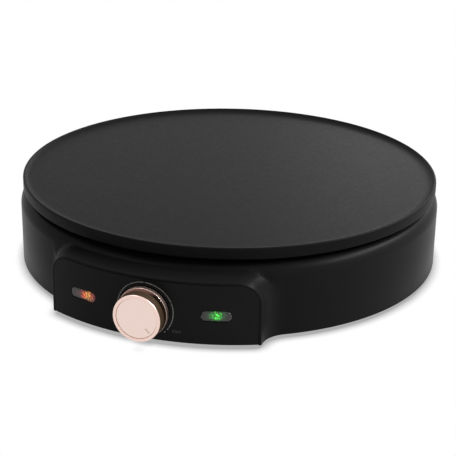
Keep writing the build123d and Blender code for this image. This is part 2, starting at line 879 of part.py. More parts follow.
# ---- Sensing bulb under the plate, joined to the thermostat by its capillary
capillary_radius = 0.75
bulb_radius = 2.5
bulb_length = 60.0
bulb_x = 52.0
bulb_start = -45.0
bulb_height = plate_bottom - bulb_radius - seat_gap
capillary_x = 16.0
capillary_height = 34.0
capillary_turn = -105.0


def here(x, y, z):
    """A point given from the plate's axis."""
    return (x, axis_y + y, z)


capillary_points = [
    here(capillary_x, -thermostat_back, capillary_height),
    here(capillary_x, capillary_turn, capillary_height),
    here(capillary_hole[0], capillary_hole[1], capillary_height),
    here(capillary_hole[0], capillary_hole[1], bulb_height),
    here(bulb_x, bulb_start, bulb_height),
]

capillary = tube(capillary_points, [10, 8, 8], capillary_radius)

with BuildPart() as capillary_bulb:
    add(capillary)
    with BuildSketch(facing(0, 0, -bulb_start)):
        with Locations((bulb_x, bulb_height)):
            Circle(bulb_radius)
    extrude(amount=-bulb_length)
capillary_bulb.part.label = "capillary_bulb"
export_step(capillary_bulb.part, "parts/capillary_bulb.step")

bulb_clip_width = 8.0
bulb_clip_tail = 14.0
bulb_clip_top_bend = 4.0
bulb_clip_low_bend = 3.2
clip_under = bulb_height - bulb_radius - 2 * seat_gap

with BuildPart() as bulb_clip:
    with BuildSketch(facing(0, 0, bulb_clip_width / 2 - bulb_clip_screw[1])):
        with BuildLine():
            Polyline(
                (bulb_x + bulb_clip_tail, clip_flat),
                (bulb_x + bulb_clip_top_bend, clip_flat),
                (bulb_x + bulb_clip_low_bend, clip_under),
                (bulb_x - bulb_radius, clip_under),
                (bulb_x - bulb_radius, clip_under - clip_thickness),
                (bulb_x + bulb_clip_low_bend + clip_thickness, clip_under - clip_thickness),
                (bulb_x + bulb_clip_top_bend + clip_thickness, clip_flat - clip_thickness),
                (bulb_x + bulb_clip_tail, clip_flat - clip_thickness),
                close=True,
            )
        make_face()
    extrude(amount=-bulb_clip_width)
    with BuildSketch(level(clip_flat)):
        with Locations(bulb_clip_screw):
            Circle(clip_screw_radius + screw_gap)
    extrude(amount=-2 * clip_thickness, mode=Mode.SUBTRACT)
bulb_clip.part.label = "bulb_clip"
export_step(bulb_clip.part, "parts/bulb_clip.step")

with BuildPart() as bulb_clip_screw_part:
    with BuildSketch(level(clip_head_top)):
        with Locations(bulb_clip_screw):
            Circle(clip_head_radius)
    extrude(amount=-clip_head_height)
    with BuildSketch(level(clip_head_top)):
        with Locations(bulb_clip_screw):
            Circle(clip_screw_radius - close_gap)
    extrude(amount=clip_screw_length)
bulb_clip_screw_part.part.label = "bulb_clip_screw"
export_step(bulb_clip_screw_part.part, "parts/bulb_clip_screw.step")

# ---- Thermal fuse, held under the heat shield by a sprung clip
fuse_x = -36.0
fuse_y = -60.0
fuse_radius = 2.0
fuse_length = 12.0
fuse_lead = 6.0
fuse_lead_radius = 0.5
fuse_height = shield_floor - 3.1
fuse_clip_width = 6.0
fuse_clip_wall = 0.7
fuse_clip_length = 14.0
fuse_clip_thickness = 0.8
fuse_clip_opening = 2.4

with BuildPart() as thermal_fuse:
    with BuildSketch(facing(0, 0, -fuse_y + fuse_length / 2)):
        with Locations((fuse_x, fuse_height)):
            Circle(fuse_radius)
    extrude(amount=-fuse_length)
    with BuildSketch(facing(0, 0, -fuse_y + fuse_length / 2 + fuse_lead)):
        with Locations((fuse_x, fuse_height)):
            Circle(fuse_lead_radius)
    extrude(amount=-fuse_length - 2 * fuse_lead)
thermal_fuse.part.label = "thermal_fuse"
export_step(thermal_fuse.part, "parts/thermal_fuse.step")

with BuildPart() as fuse_clip:
    with BuildSketch(facing(0, 0, fuse_clip_width / 2 - fuse_y)):
        with Locations((fuse_x, fuse_height)):
            Circle(fuse_radius + fuse_clip_wall)
        with Locations((fuse_x, shield_floor - seat_gap - fuse_clip_thickness / 2)):
            Rectangle(fuse_clip_length, fuse_clip_thickness)
        with Locations((fuse_x, fuse_height)):
            Circle(fuse_radius + seat_gap, mode=Mode.SUBTRACT)
        with Locations((fuse_x, fuse_height - fuse_radius)):
            Rectangle(fuse_clip_opening, fuse_clip_opening, mode=Mode.SUBTRACT)
    extrude(amount=-fuse_clip_width)
fuse_clip.part.label = "fuse_clip"
export_step(fuse_clip.part, "parts/fuse_clip.step")

# ---- Bottom cover: a vented tray floor with the posts of the terminal block and the cord clamp
cover_gap = 0.3
block_post_height = 8.0
block_post_radius = 3.0
block_y = 103.0
block_fixings = [(-5, block_y), (5, block_y)]
clamp_y = 134.0
clamp_posts = [(-12, clamp_y), (12, clamp_y)]
clamp_post_radius = 3.5
saddle_length = 14.0
saddle_width = 6.0
saddle_gap = 0.2
saddle_top = gland_height - gland_bore_radius - saddle_gap
clamp_bar_bottom = gland_height + gland_bore_radius + saddle_gap
post_floor = 1.0
post_pilot_radius = 1.25
foot_stem_radius = 3.0
cover_hole_radius = 1.9
vent_width = 3.5
vent_rings = ((78.0, 20, 34.0), (40.0, 12, 22.0))
cover_plan = box_plan(wall + cover_gap)

with BuildPart() as bottom_cover:
    with BuildSketch(level(cover_bottom)):
        add(cover_plan)
        Circle(panel_back - cover_gap, mode=Mode.INTERSECT)
        Circle(body_radius - wall - cover_gap)
    extrude(amount=cover_thickness)
    with BuildSketch(level(cover_top)):
        with Locations(*block_fixings):
            Circle(block_post_radius)
    extrude(amount=block_post_height - cover_top)
    with BuildSketch(level(cover_top)):
        with Locations(*clamp_posts):
            Circle(clamp_post_radius)
    extrude(amount=clamp_bar_bottom - cover_top)
    with BuildSketch(level(cover_top)):
        with Locations((0, clamp_y)):
            Rectangle(saddle_length, saddle_width)
    extrude(amount=saddle_top - cover_top)
    with BuildSketch(level(cover_bottom)):
        with PolarLocations(foot_circle_radius, 4, start_angle=45):
            Circle(foot_stem_radius + close_gap)
        with Locations(*[on_circle(cover_screw_circle, angle) for angle in cover_screw_angles]):
            Circle(cover_hole_radius)
        for ring_radius, vent_count, vent_length in vent_rings:
            with PolarLocations(ring_radius, vent_count):
                SlotOverall(vent_length, vent_width)
    extrude(amount=cover_thickness, mode=Mode.SUBTRACT)
    with BuildSketch(level(cover_bottom + post_floor)):
        with Locations(*block_fixings, *clamp_posts):
            Circle(post_pilot_radius)
    extrude(amount=clamp_bar_bottom, mode=Mode.SUBTRACT)
bottom_cover.part.label = "bottom_cover"
export_step(bottom_cover.part, "parts/bottom_cover.step")

cover_head_radius = 3.4
cover_head_height = 1.8
cover_head_round = 0.9
cover_cross_length = 3.6
cover_screw_length = 12.0

with BuildPart() as cover_screws:
    with BuildSketch(level(cover_bottom)):
        with Locations(*[on_circle(cover_screw_circle, angle) for angle in cover_screw_angles]):
            Circle(cover_head_radius)
    extrude(amount=-cover_head_height)
    fillet(cover_screws.edges().group_by(Axis.Z)[0], cover_head_round)
    with BuildSketch(level(cover_bottom - cover_head_height)):
        with Locations(*[on_circle(cover_screw_circle, angle) for angle in cover_screw_angles]):
            Rectangle(cover_cross_length, cross_width)
            Rectangle(cross_width, cover_cross_length)
    extrude(amount=cross_depth, mode=Mode.SUBTRACT)
    with BuildSketch(level(cover_bottom)):
        with Locations(*[on_circle(cover_screw_circle, angle) for angle in cover_screw_angles]):
            Circle(boss_pilot_radius - close_gap)
    extrude(amount=cover_screw_length)
cover_screws.part.label = "cover_screws"
export_step(cover_screws.part, "parts/cover_screws.step")

# ---- Feet: turned rubber pads, each held in the cover by the barb on its stem
foot_barb = 1.0
foot_barb_top = cover_top + 2.5
foot_sole_round = 0.8
foot_top_round = 0.5
foot_names = ("foot_back_right", "foot_back_left", "foot_front_left", "foot_front_right")

for angle, name in zip(lug_angles, foot_names):
    foot_x, foot_y = on_circle(foot_circle_radius, angle)
    foot_axis = Axis((foot_x, axis_y + foot_y, 0), (0, 0, 1))
    with BuildPart() as foot:
        with BuildSketch(Plane(origin=(foot_x, axis_y + foot_y, 0), x_dir=(1, 0, 0), z_dir=(0, -1, 0))):
            with BuildLine():
                FilletPolyline(
                    (0, 0),
                    (foot_radius, 0),
                    (foot_radius, cover_bottom),
                    (foot_stem_radius, cover_bottom),
                    (foot_stem_radius, cover_top),
                    (foot_stem_radius + foot_barb, cover_top),
                    (foot_stem_radius - foot_barb, foot_barb_top),
                    (0, foot_barb_top),
                    radius=[foot_sole_round, foot_top_round, 0, 0, 0, foot_top_round],
                )
                Line((0, foot_barb_top), (0, 0))
            make_face()
        revolve(axis=foot_axis)
    foot.part.label = name
    export_step(foot.part, f"parts/{name}.step")

# ---- Cord gland in the back wall, and the clamp bar behind it
gland_flange_round = 1.2
gland_neck_length = 6.0
gland_lock_radius = 7.2
gland_lock_reach = body_radius - wall - 0.3
gland_lock_length = 2.5
gland_bore_length = 20.0
clamp_bar_length = 32.0
clamp_bar_width = 7.0
clamp_bar_thickness = 3.0
clamp_bar_top = clamp_bar_bottom + clamp_bar_thickness
clamp_hole_radius = 1.5
clamp_head_radius = 2.6
clamp_head_height = 2.0
clamp_shank_radius = 1.2
clamp_screw_length = 13.0

with BuildPart() as cord_gland:
    with BuildSketch(facing(180, gland_height, body_radius)):
        Circle(gland_flange_radius)
    extrude(amount=gland_proud)
    fillet(cord_gland.edges().sort_by(Axis.Y)[-1], gland_flange_round)
    with BuildSketch(facing(180, gland_height, body_radius)):
        Circle(gland_neck_radius)
    extrude(amount=-gland_neck_length)
    with BuildSketch(facing(180, gland_height, gland_lock_reach)):
        Circle(gland_lock_radius)
    extrude(amount=-gland_lock_length)
    with BuildSketch(facing(180, gland_height, gland_reach)):
        Circle(gland_bore_radius)
    extrude(amount=-gland_bore_length, mode=Mode.SUBTRACT)
cord_gland.part.label = "cord_gland"
export_step(cord_gland.part, "parts/cord_gland.step")

with BuildPart() as cord_clamp:
    with BuildSketch(level(clamp_bar_bottom)):
        with Locations((0, clamp_y)):
            SlotOverall(clamp_bar_length, clamp_bar_width)
        with Locations(*clamp_posts):
            Circle(clamp_hole_radius, mode=Mode.SUBTRACT)
    extrude(amount=clamp_bar_thickness)
cord_clamp.part.label = "cord_clamp"
export_step(cord_clamp.part, "parts/cord_clamp.step")

with BuildPart() as clamp_screws:
    with BuildSketch(level(clamp_bar_top)):
        with Locations(*clamp_posts):
            Circle(clamp_head_radius)
    extrude(amount=clamp_head_height)
    with BuildSketch(level(clamp_bar_top)):
        with Locations(*clamp_posts):
            Circle(clamp_shank_radius)
    extrude(amount=-clamp_screw_length)
clamp_screws.part.label = "clamp_screws"
export_step(clamp_screws.part, "parts/clamp_screws.step")

# ---- Terminal block: three ways in a moulded body, each a brass sleeve with two clamping screws
way_offsets = (-10, 0, 10)
way_height = 14.0
block_length = 34.0
block_depth = 14.0
block_top = 21.0
block_corner = 1.5
block_hole_radius = 1.4
sleeve_radius = 2.6
sleeve_bore = 1.7
sleeve_length = 12.0
way_screw_radius = 1.25
way_screw_length = 5.5
way_screws = [(x, block_y + y) for x in way_offsets for y in (-3.5, 3.5)]

with BuildPart() as terminal_block:
    with BuildSketch(level(block_post_height)):
        with Locations((0, block_y)):
            RectangleRounded(block_length, block_depth, block_corner)
        with Locations(*block_fixings):
            Circle(block_hole_radius, mode=Mode.SUBTRACT)
    extrude(amount=block_top - block_post_height)
    with BuildSketch(facing(180, way_height, block_y - block_depth)):
        with Locations(*[(x, 0) for x in way_offsets]):
            Circle(sleeve_radius + close_gap)
    extrude(amount=2 * block_depth, mode=Mode.SUBTRACT)
    with BuildSketch(level(way_height)):
        with Locations(*way_screws):
            Circle(way_screw_radius + seat_gap)
    extrude(amount=block_top, mode=Mode.SUBTRACT)
terminal_block.part.label = "terminal_block"
export_step(terminal_block.part, "parts/terminal_block.step")

with BuildPart() as terminal_sleeves:
    with BuildSketch(facing(180, way_height, block_y - sleeve_length / 2)):
        with Locations(*[(x, 0) for x in way_offsets]):
            Circle(sleeve_radius)
            Circle(sleeve_bore, mode=Mode.SUBTRACT)
    extrude(amount=sleeve_length)
    with BuildSketch(level(way_height)):
        with Locations(*way_screws):
            Circle(way_screw_radius + seat_gap)
    extrude(amount=block_top, mode=Mode.SUBTRACT)
terminal_sleeves.part.label = "terminal_sleeves"
export_step(terminal_sleeves.part, "parts/terminal_sleeves.step")

with BuildPart() as terminal_screws:
    with BuildSketch(level(way_height + wire_radius + seat_gap)):
        with Locations(*way_screws):
            Circle(way_screw_radius)
    extrude(amount=way_screw_length)
terminal_screws.part.label = "terminal_screws"
export_step(terminal_screws.part, "parts/terminal_screws.step")

block_head_radius = 2.2
block_head_height = 1.6
block_shank_radius = 1.2
block_screw_length = 16.5

with BuildPart() as block_screws:
    with BuildSketch(level(block_top)):
        with Locations(*block_fixings):
            Circle(block_head_radius)
    extrude(amount=block_head_height)
    with BuildSketch(level(block_top)):
        with Locations(*block_fixings):
            Circle(block_shank_radius)
    extrude(amount=-block_screw_length)
block_screws.part.label = "block_screws"
export_step(block_screws.part, "parts/block_screws.step")

# ---- Earth tag under the heat shield, with its bolt and nut
tag_top = shield_floor - close_gap
tag_thickness = 0.8
tag_eye_radius = 4.0
tag_width = 3.6
tag_length = 12.0
barrel_radius = 1.9
barrel_height = tag_top - tag_thickness - 1.45
barrel_start = earth_point[1] - tag_length / 2
barrel_length = 7.0
earth_head_radius = 2.8
earth_head_height = 1.8
earth_shank_radius = 1.45
earth_bolt_length = 6.0
nut_radius = 3.1
nut_bore = 1.5
nut_height = 2.4

with BuildPart() as earth_tag:
    with BuildSketch(level(tag_top)):
        with Locations(earth_point):
            Circle(tag_eye_radius)
        with Locations((earth_point[0], barrel_start)):
            Rectangle(tag_width, tag_length)
        with Locations(earth_point):
            Circle(earth_hole_radius, mode=Mode.SUBTRACT)
    extrude(amount=-tag_thickness)
    with BuildSketch(facing(180, 0, barrel_start)):
        with Locations((-earth_point[0], barrel_height)):
            Circle(barrel_radius)
            Circle(wire_radius + close_gap, mode=Mode.SUBTRACT)
    extrude(amount=-barrel_length)
earth_tag.part.label = "earth_tag"
export_step(earth_tag.part, "parts/earth_tag.step")

with BuildPart() as earth_bolt:
    with BuildSketch(level(shield_top)):
        with Locations(earth_point):
            Circle(earth_head_radius)
    extrude(amount=earth_head_height)
    with BuildSketch(level(shield_top)):
        with Locations(earth_point):
            Circle(earth_shank_radius)
    extrude(amount=-earth_bolt_length)
earth_bolt.part.label = "earth_bolt"
export_step(earth_bolt.part, "parts/earth_bolt.step")

with BuildPart() as earth_nut:
    with BuildSketch(level(tag_top - tag_thickness)):
        with Locations(earth_point):
            RegularPolygon(nut_radius, 6)
            Circle(nut_bore, mode=Mode.SUBTRACT)
    extrude(amount=-nut_height)
earth_nut.part.label = "earth_nut"
export_step(earth_nut.part, "parts/earth_nut.step")

# ---- Push-on receptacles on the thermostat's blades and crimp sleeves on the element's pins
receptacle_front = ceramic_back - 0.3
receptacle_width = 7.6
receptacle_height = 2.6
receptacle_barrel_radius = 1.7
lamp_receptacle_width = 4.0
lamp_receptacle_height = 2.2
lamp_barrel_radius = 1.2
slot_margin = 0.2
barrel_mouth = 108.0
pin_sleeve_radius = 2.4
pin_sleeve_top = 34.0
pin_sleeve_bottom = 24.0
lead_radius = 0.7
pins = [(drop_x, drop_y), (-drop_x, drop_y)]

with BuildPart() as receptacles:
    with BuildSketch(facing(0, 0, receptacle_front)):
        with Locations((blade_offset, blade_height), (-blade_offset, blade_height)):
            Rectangle(receptacle_width, receptacle_height)
            Rectangle(blade_width + slot_margin, blade_thickness + slot_margin, mode=Mode.SUBTRACT)
        for across, up in lamp_blades:
            with Locations((across, up), (-across, up)):
                Rectangle(lamp_receptacle_width, lamp_receptacle_height)
                Rectangle(lamp_blade_width + slot_margin, blade_thickness + slot_margin, mode=Mode.SUBTRACT)
    extrude(amount=blade_end - receptacle_front)
    with BuildSketch(facing(0, 0, blade_end)):
        with Locations((blade_offset, blade_height), (-blade_offset, blade_height)):
            Circle(receptacle_barrel_radius)
            Circle(wire_radius + close_gap, mode=Mode.SUBTRACT)
        for across, up in lamp_blades:
            with Locations((across, up), (-across, up)):
                Circle(lamp_barrel_radius)
                Circle(lead_radius + close_gap, mode=Mode.SUBTRACT)
    extrude(amount=barrel_mouth - blade_end)
receptacles.part.label = "receptacles"
export_step(receptacles.part, "parts/receptacles.step")

with BuildPart() as pin_sleeves:
    with BuildSketch(level(pin_sleeve_bottom)):
        with Locations(*pins):
            Circle(pin_sleeve_radius)
            Circle(pin_radius + close_gap, mode=Mode.SUBTRACT)
    extrude(amount=pin_sleeve_top - pin_sleeve_bottom)
pin_sleeves.part.label = "pin_sleeves"
export_step(pin_sleeves.part, "parts/pin_sleeves.step")

# ---- Internal wires, each along straight runs with rounded bends
wire_end = pin_end - 0.5
block_end = block_y - 4
blade_wire_end = 0.5 - blade_end
lead_end = 0.3 - blade_end
lead_turn = 134.0

live_points = [
    here(10, block_end, way_height),
    here(10, 78, way_height),
    here(64, 35, 9),
    here(64, -45, 9),
    here(blade_offset, -88, blade_height),
    here(blade_offset, blade_wire_end, blade_height),
]
live_wire = tube(live_points, [16, 24, 24, 10], wire_radius)
live_wire.label = "live_wire"
export_step(live_wire, "parts/live_wire.step")

neutral_points = [
    here(0, block_end, way_height),
    here(0, 72, way_height),
    here(38, 25, 22),
    here(38, -55, 21),
    here(drop_x, drop_y, 19),
    here(drop_x, drop_y, wire_end),
]
neutral_wire = tube(neutral_points, [16, 24, 20, 5], wire_radius)
neutral_wire.label = "neutral_wire"
export_step(neutral_wire, "parts/neutral_wire.step")

earth_points = [
    here(-10, block_end, way_height),
    here(-10, 80, way_height),
    here(earth_point[0], 38, 15),
    here(earth_point[0], 38, barrel_height),
    here(earth_point[0], barrel_start - 1, barrel_height),
]
earth_wire = tube(earth_points, [16, 10, 8], wire_radius)
earth_wire.label = "earth_wire"
export_step(earth_wire, "parts/earth_wire.step")

fuse_front = fuse_y - fuse_length / 2 - fuse_lead
fuse_rear = fuse_y + fuse_length / 2 + fuse_lead
switched_points = [
    here(-blade_offset, blade_wire_end, blade_height),
    here(-blade_offset, -99, blade_height),
    here(fuse_x, -97, 17),
    here(fuse_x, -97, fuse_height),
    here(fuse_x, fuse_front, fuse_height),
]
switched_wire = tube(switched_points, [6, 8, 8], wire_radius)
switched_wire.label = "switched_wire"
export_step(switched_wire, "parts/switched_wire.step")

heater_points = [
    here(fuse_x, fuse_rear, fuse_height),
    here(fuse_x, -28, fuse_height - 2),
    here(-16, -34, 22),
    here(-drop_x, drop_y, 19),
    here(-drop_x, drop_y, wire_end),
]
heater_wire = tube(heater_points, [8, 8, 5], wire_radius)
heater_wire.label = "heater_wire"
export_step(heater_wire, "parts/heater_wire.step")

for name, side in (("orange_lamp_leads", -1), ("green_lamp_leads", 1)):
    (outer_across, outer_up), (inner_across, inner_up) = lamp_blades
    inside = facing(side * window_angle, window_height, lamp_reach - lamp_radius - seat_gap)
    turn = facing(side * window_angle, window_height, lead_turn)
    outer_points = [
        inside.from_local_coords((side * leg_offset, 0, 0)),
        turn.from_local_coords((side * leg_offset, 0, 0)),
        here(side * 22, -104, 27),
        here(side * outer_across, -102, outer_up),
        here(side * outer_across, lead_end, outer_up),
    ]
    inner_points = [
        inside.from_local_coords((-side * leg_offset, 0, 0)),
        turn.from_local_coords((-side * leg_offset, 0, 0)),
        here(side * 14, -106, 22.5),
        here(side * inner_across, -102, inner_up),
        here(side * inner_across, lead_end, inner_up),
    ]
    outer_lead = tube(outer_points, [8, 5, 4], lead_radius)
    inner_lead = tube(inner_points, [8, 4, 4], lead_radius)
    with BuildPart() as leads:
        add(outer_lead)
        add(inner_lead)
    leads.part.label = name
    export_step(leads.part, f"parts/{name}.step")
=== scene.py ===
import bmesh
import bpy
import json
import math
import numpy as np
from mathutils import Matrix, Vector


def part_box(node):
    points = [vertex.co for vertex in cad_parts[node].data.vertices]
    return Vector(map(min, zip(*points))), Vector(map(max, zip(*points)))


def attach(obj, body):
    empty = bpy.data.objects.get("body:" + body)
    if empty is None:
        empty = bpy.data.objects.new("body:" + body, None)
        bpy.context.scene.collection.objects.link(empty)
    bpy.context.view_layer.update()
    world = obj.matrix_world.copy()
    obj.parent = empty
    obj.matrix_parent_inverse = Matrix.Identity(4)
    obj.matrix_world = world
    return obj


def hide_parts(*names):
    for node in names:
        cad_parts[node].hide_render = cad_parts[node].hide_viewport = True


# Electric crepe maker. Metres, +Z up, front towards -Y. Shapes are worked out from the plate's axis and moved
# onto it at the end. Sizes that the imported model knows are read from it. The functions for each piece stand
# together with its dictionary, and everything is made in order at the end of the file.

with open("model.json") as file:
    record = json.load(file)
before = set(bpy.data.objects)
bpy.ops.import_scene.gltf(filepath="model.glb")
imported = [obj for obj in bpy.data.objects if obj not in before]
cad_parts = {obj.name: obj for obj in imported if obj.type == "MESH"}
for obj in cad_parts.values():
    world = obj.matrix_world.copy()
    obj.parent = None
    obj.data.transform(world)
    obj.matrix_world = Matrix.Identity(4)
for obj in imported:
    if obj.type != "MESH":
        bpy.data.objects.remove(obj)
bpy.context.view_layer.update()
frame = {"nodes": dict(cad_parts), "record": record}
mm = 0.001

plateLow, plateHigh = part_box("cooking_plate")
housingLow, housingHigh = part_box("housing")
knobLow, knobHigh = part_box("knob")
capLow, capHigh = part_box("knob_cap")
lensLow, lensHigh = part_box("green_lens")

axisY = (plateLow.y + plateHigh.y) / 2  # a reach is a distance from this axis, in plan
plateRadius = (plateHigh.x - plateLow.x) / 2
bodyRadius = (housingHigh.x - housingLow.x) / 2
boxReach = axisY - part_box("control_panel")[0].y
knobReach = axisY - knobLow.y
knobBack = axisY - knobHigh.y
knobHeight = (knobLow.z + knobHigh.z) / 2
knobRadius = (knobHigh.x - knobLow.x) / 2
capReach = axisY - capLow.y
capBack = axisY - capHigh.y
capRadius = (capHigh.x - capLow.x) / 2
windowHeight = (lensLow.z + lensHigh.z) / 2
plateSpokes = np.radians([45, 135, 225, 315])  # the screws that hold the plate stand on these
print("frame read: plate radius", round(plateRadius, 4), "box reach", round(boxReach, 4))


def fromAxis(points):
    # moves points given from the plate's axis into the shared frame
    return points + np.array([0.0, axisY, 0.0])


def onSpoke(reach, angle):
    # the plan point at a reach and an angle: x = reach cos a, y = reach sin a
    return reach * np.array([math.cos(angle), math.sin(angle), 0.0])


def makePiece(name, parts, material, body, replaced=(), sharpAngle=35.0):
    # one object from (points, faces) pairs: doubles merged, empty faces dropped, normals turned outwards
    merge = 0.004 * mm
    mesh = bpy.data.meshes.new(name)
    work = bmesh.new()
    for points, faces in parts:
        part = bpy.data.meshes.new("part")
        part.from_pydata(points.reshape(-1, 3).tolist(), [], faces.tolist())
        work.from_mesh(part)
        bpy.data.meshes.remove(part)
    bmesh.ops.remove_doubles(work, verts=work.verts, dist=merge)
    bmesh.ops.dissolve_degenerate(work, edges=work.edges, dist=merge)
    bmesh.ops.recalc_face_normals(work, faces=work.faces)
    work.to_mesh(mesh)
    work.free()
    mesh.shade_smooth()
    mesh.set_sharp_from_angle(angle=math.radians(sharpAngle))
    mesh.materials.append(material)
    piece = bpy.data.objects.new(name, mesh)
    bpy.context.scene.collection.objects.link(piece)
    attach(piece, body)
    if replaced:
        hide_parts(*replaced)


def gridFaces(rows, columns, closeRows=False, closeColumns=False):
    # quads between neighbouring samples of a rows x columns grid, as numbers of the flattened points
    row = np.arange(rows if closeRows else rows - 1)
    column = np.arange(columns if closeColumns else columns - 1)
    r, c = np.meshgrid(row, column, indexing="ij")
    r2, c2 = (r + 1) % rows, (c + 1) % columns
    quads = np.stack([r * columns + c, r * columns + c2, r2 * columns + c2, r2 * columns + c], axis=-1)
    return quads.reshape(-1, 4)


def gridPart(points, closeRows=False, closeColumns=False):
    # a grid of points with its faces, less the faces that have no area
    smallest = 1e-13  # square metres
    faces = gridFaces(points.shape[0], points.shape[1], closeRows, closeColumns)
    corner = points.reshape(-1, 3)[faces]
    area = np.linalg.norm(np.cross(corner[:, 2] - corner[:, 0], corner[:, 3] - corner[:, 1]), axis=1)
    return points, faces[area > smallest]


def roundCorners(points, radii, steps=6):
    # an open outline whose corners are swapped for arcs that touch both of their sides
    points = np.asarray(points, float)
    runs = [points[:1]]
    for before, corner, after, radius in zip(points, points[1:], points[2:], radii):
        back = (before - corner) / np.linalg.norm(before - corner)
        ahead = (after - corner) / np.linalg.norm(after - corner)
        half = math.acos(np.clip(back @ ahead, -1, 1)) / 2
        middle = (back + ahead) / np.linalg.norm(back + ahead)
        centre = corner + middle * radius / math.sin(half)
        start = corner + back * radius / math.tan(half) - centre
        end = corner + ahead * radius / math.tan(half) - centre
        sweep = math.pi - 2 * half
        t = np.linspace(0, 1, steps)[:, None]
        runs.append(centre + (np.sin((1 - t) * sweep) * start + np.sin(t * sweep) * end) / math.sin(sweep))
    runs.append(points[-1:])
    return np.concatenate(runs)


def lathe(profile, count):
    # a profile (radius, height) carried round +Z: x = r cos a, y = r sin a, z = h; a is the grid's first axis
    turn = np.linspace(0, 2 * math.pi, count, endpoint=False)[:, None]
    profile = np.asarray(profile, float)
    radius, height = profile[:, 0][None, :], profile[:, 1][None, :]
    return np.stack([radius * np.cos(turn), radius * np.sin(turn), height + 0 * turn], axis=-1)


def ontoKnobAxis(points):
    # a lathe about +Z laid onto the knob's axis: its height becomes the reach
    return np.stack([points[..., 0], axisY - points[..., 2], knobHeight + points[..., 1]], axis=-1)


def ontoPanel(across, height, lift):
    # a point of the panel's curved face, across it and up it, raised off it by lift
    angle = across / boxReach
    reach = boxReach + lift
    return np.stack([reach * np.sin(angle), axisY - reach * np.cos(angle), height + 0 * angle], axis=-1)


def hexColor(code):
    # sRGB hex to the linear RGBA that the shaders work in
    srgb = np.array([int(code[i : i + 2], 16) for i in (1, 3, 5)]) / 255
    linear = np.where(srgb <= 0.04045, srgb / 12.92, ((srgb + 0.055) / 1.055) ** 2.4)
    return (*linear.tolist(), 1.0)


def addNode(tree, kind, settings=None, links=None):
    # settings are sockets by name or number, or else attributes; links are sockets fed by another node
    node = tree.nodes.new(kind)
    for key, value in (settings or {}).items():
        if isinstance(key, int) or key in node.inputs:
            node.inputs[key].default_value = value
        else:
            setattr(node, key, value)
    for key, source in (links or {}).items():
        tree.links.new(source, node.inputs[key])
    return node


def remap(tree, source, fromRange=(0.0, 1.0), toRange=(0.0, 1.0), blend="LINEAR"):
    # source carried from one range onto another, and held at both ends
    settings = {"interpolation_type": blend}
    settings.update(zip(("From Min", "From Max", "To Min", "To Max"), (*fromRange, *toRange)))
    return addNode(tree, "ShaderNodeMapRange", settings, {"Value": source}).outputs["Result"]


def joined(tree, operation, first, second):
    # two outputs made into one by a maths operation
    return addNode(tree, "ShaderNodeMath", {"operation": operation}, {0: first, 1: second}).outputs[0]


def colorRamp(tree, source, stops, blend="LINEAR"):
    # a ramp of (position, hex colour) stops, read off at source
    node = addNode(tree, "ShaderNodeValToRGB", {}, {"Fac": source})
    node.color_ramp.interpolation = blend
    elements = node.color_ramp.elements
    for index, (position, color) in ((0, stops[0]), (1, stops[-1])):
        elements[index].position = position
        elements[index].color = hexColor(color)
    for position, color in stops[1:-1]:
        elements.new(position).color = hexColor(color)
    return node.outputs["Color"]


def objectPlace(tree):
    # a point's place in its own object; the pieces made here are drawn in the shared frame
    return addNode(tree, "ShaderNodeTexCoord").outputs["Object"]


def newMaterial(name, color, roughness, metallic=0.0, specular=0.5):
    material = bpy.data.materials.new(name)
    material.use_nodes = True
    shader = material.node_tree.nodes["Principled BSDF"]
    shader.inputs["Base Color"].default_value = hexColor(color)
    shader.inputs["Roughness"].default_value = roughness
    shader.inputs["Metallic"].default_value = metallic
    shader.inputs["Specular IOR Level"].default_value = specular
    return material, material.node_tree, shader


def addGrain(tree, shader, pitch, height, low, high):
    # grain of a real pitch: a height for the light to catch, and a spread of roughness over the same grain
    noiseRange = (0.3, 0.7)  # nearly all of the noise lies in it
    noise = addNode(
        tree, "ShaderNodeTexNoise", {"Scale": 1 / pitch, "Detail": 2.0}, {"Vector": objectPlace(tree)}
    )
    spread = remap(tree, noise.outputs["Fac"], noiseRange, (low, high))
    tree.links.new(spread, shader.inputs["Roughness"])
    if height:
        bump = addNode(tree, "ShaderNodeBump", {"Distance": height}, {"Height": noise.outputs["Fac"]})
        tree.links.new(bump.outputs["Normal"], shader.inputs["Normal"])
    return noise.outputs["Fac"]


def grained(name, color, metallic, specular, pitch, height, low, high):
    material, tree, shader = newMaterial(name, color, (low + high) / 2, metallic, specular)
    addGrain(tree, shader, pitch, height, low, high)
    return material


slotOfNode = {row["node"]: row["material_slot"] for row in frame["record"]["subparts"]}

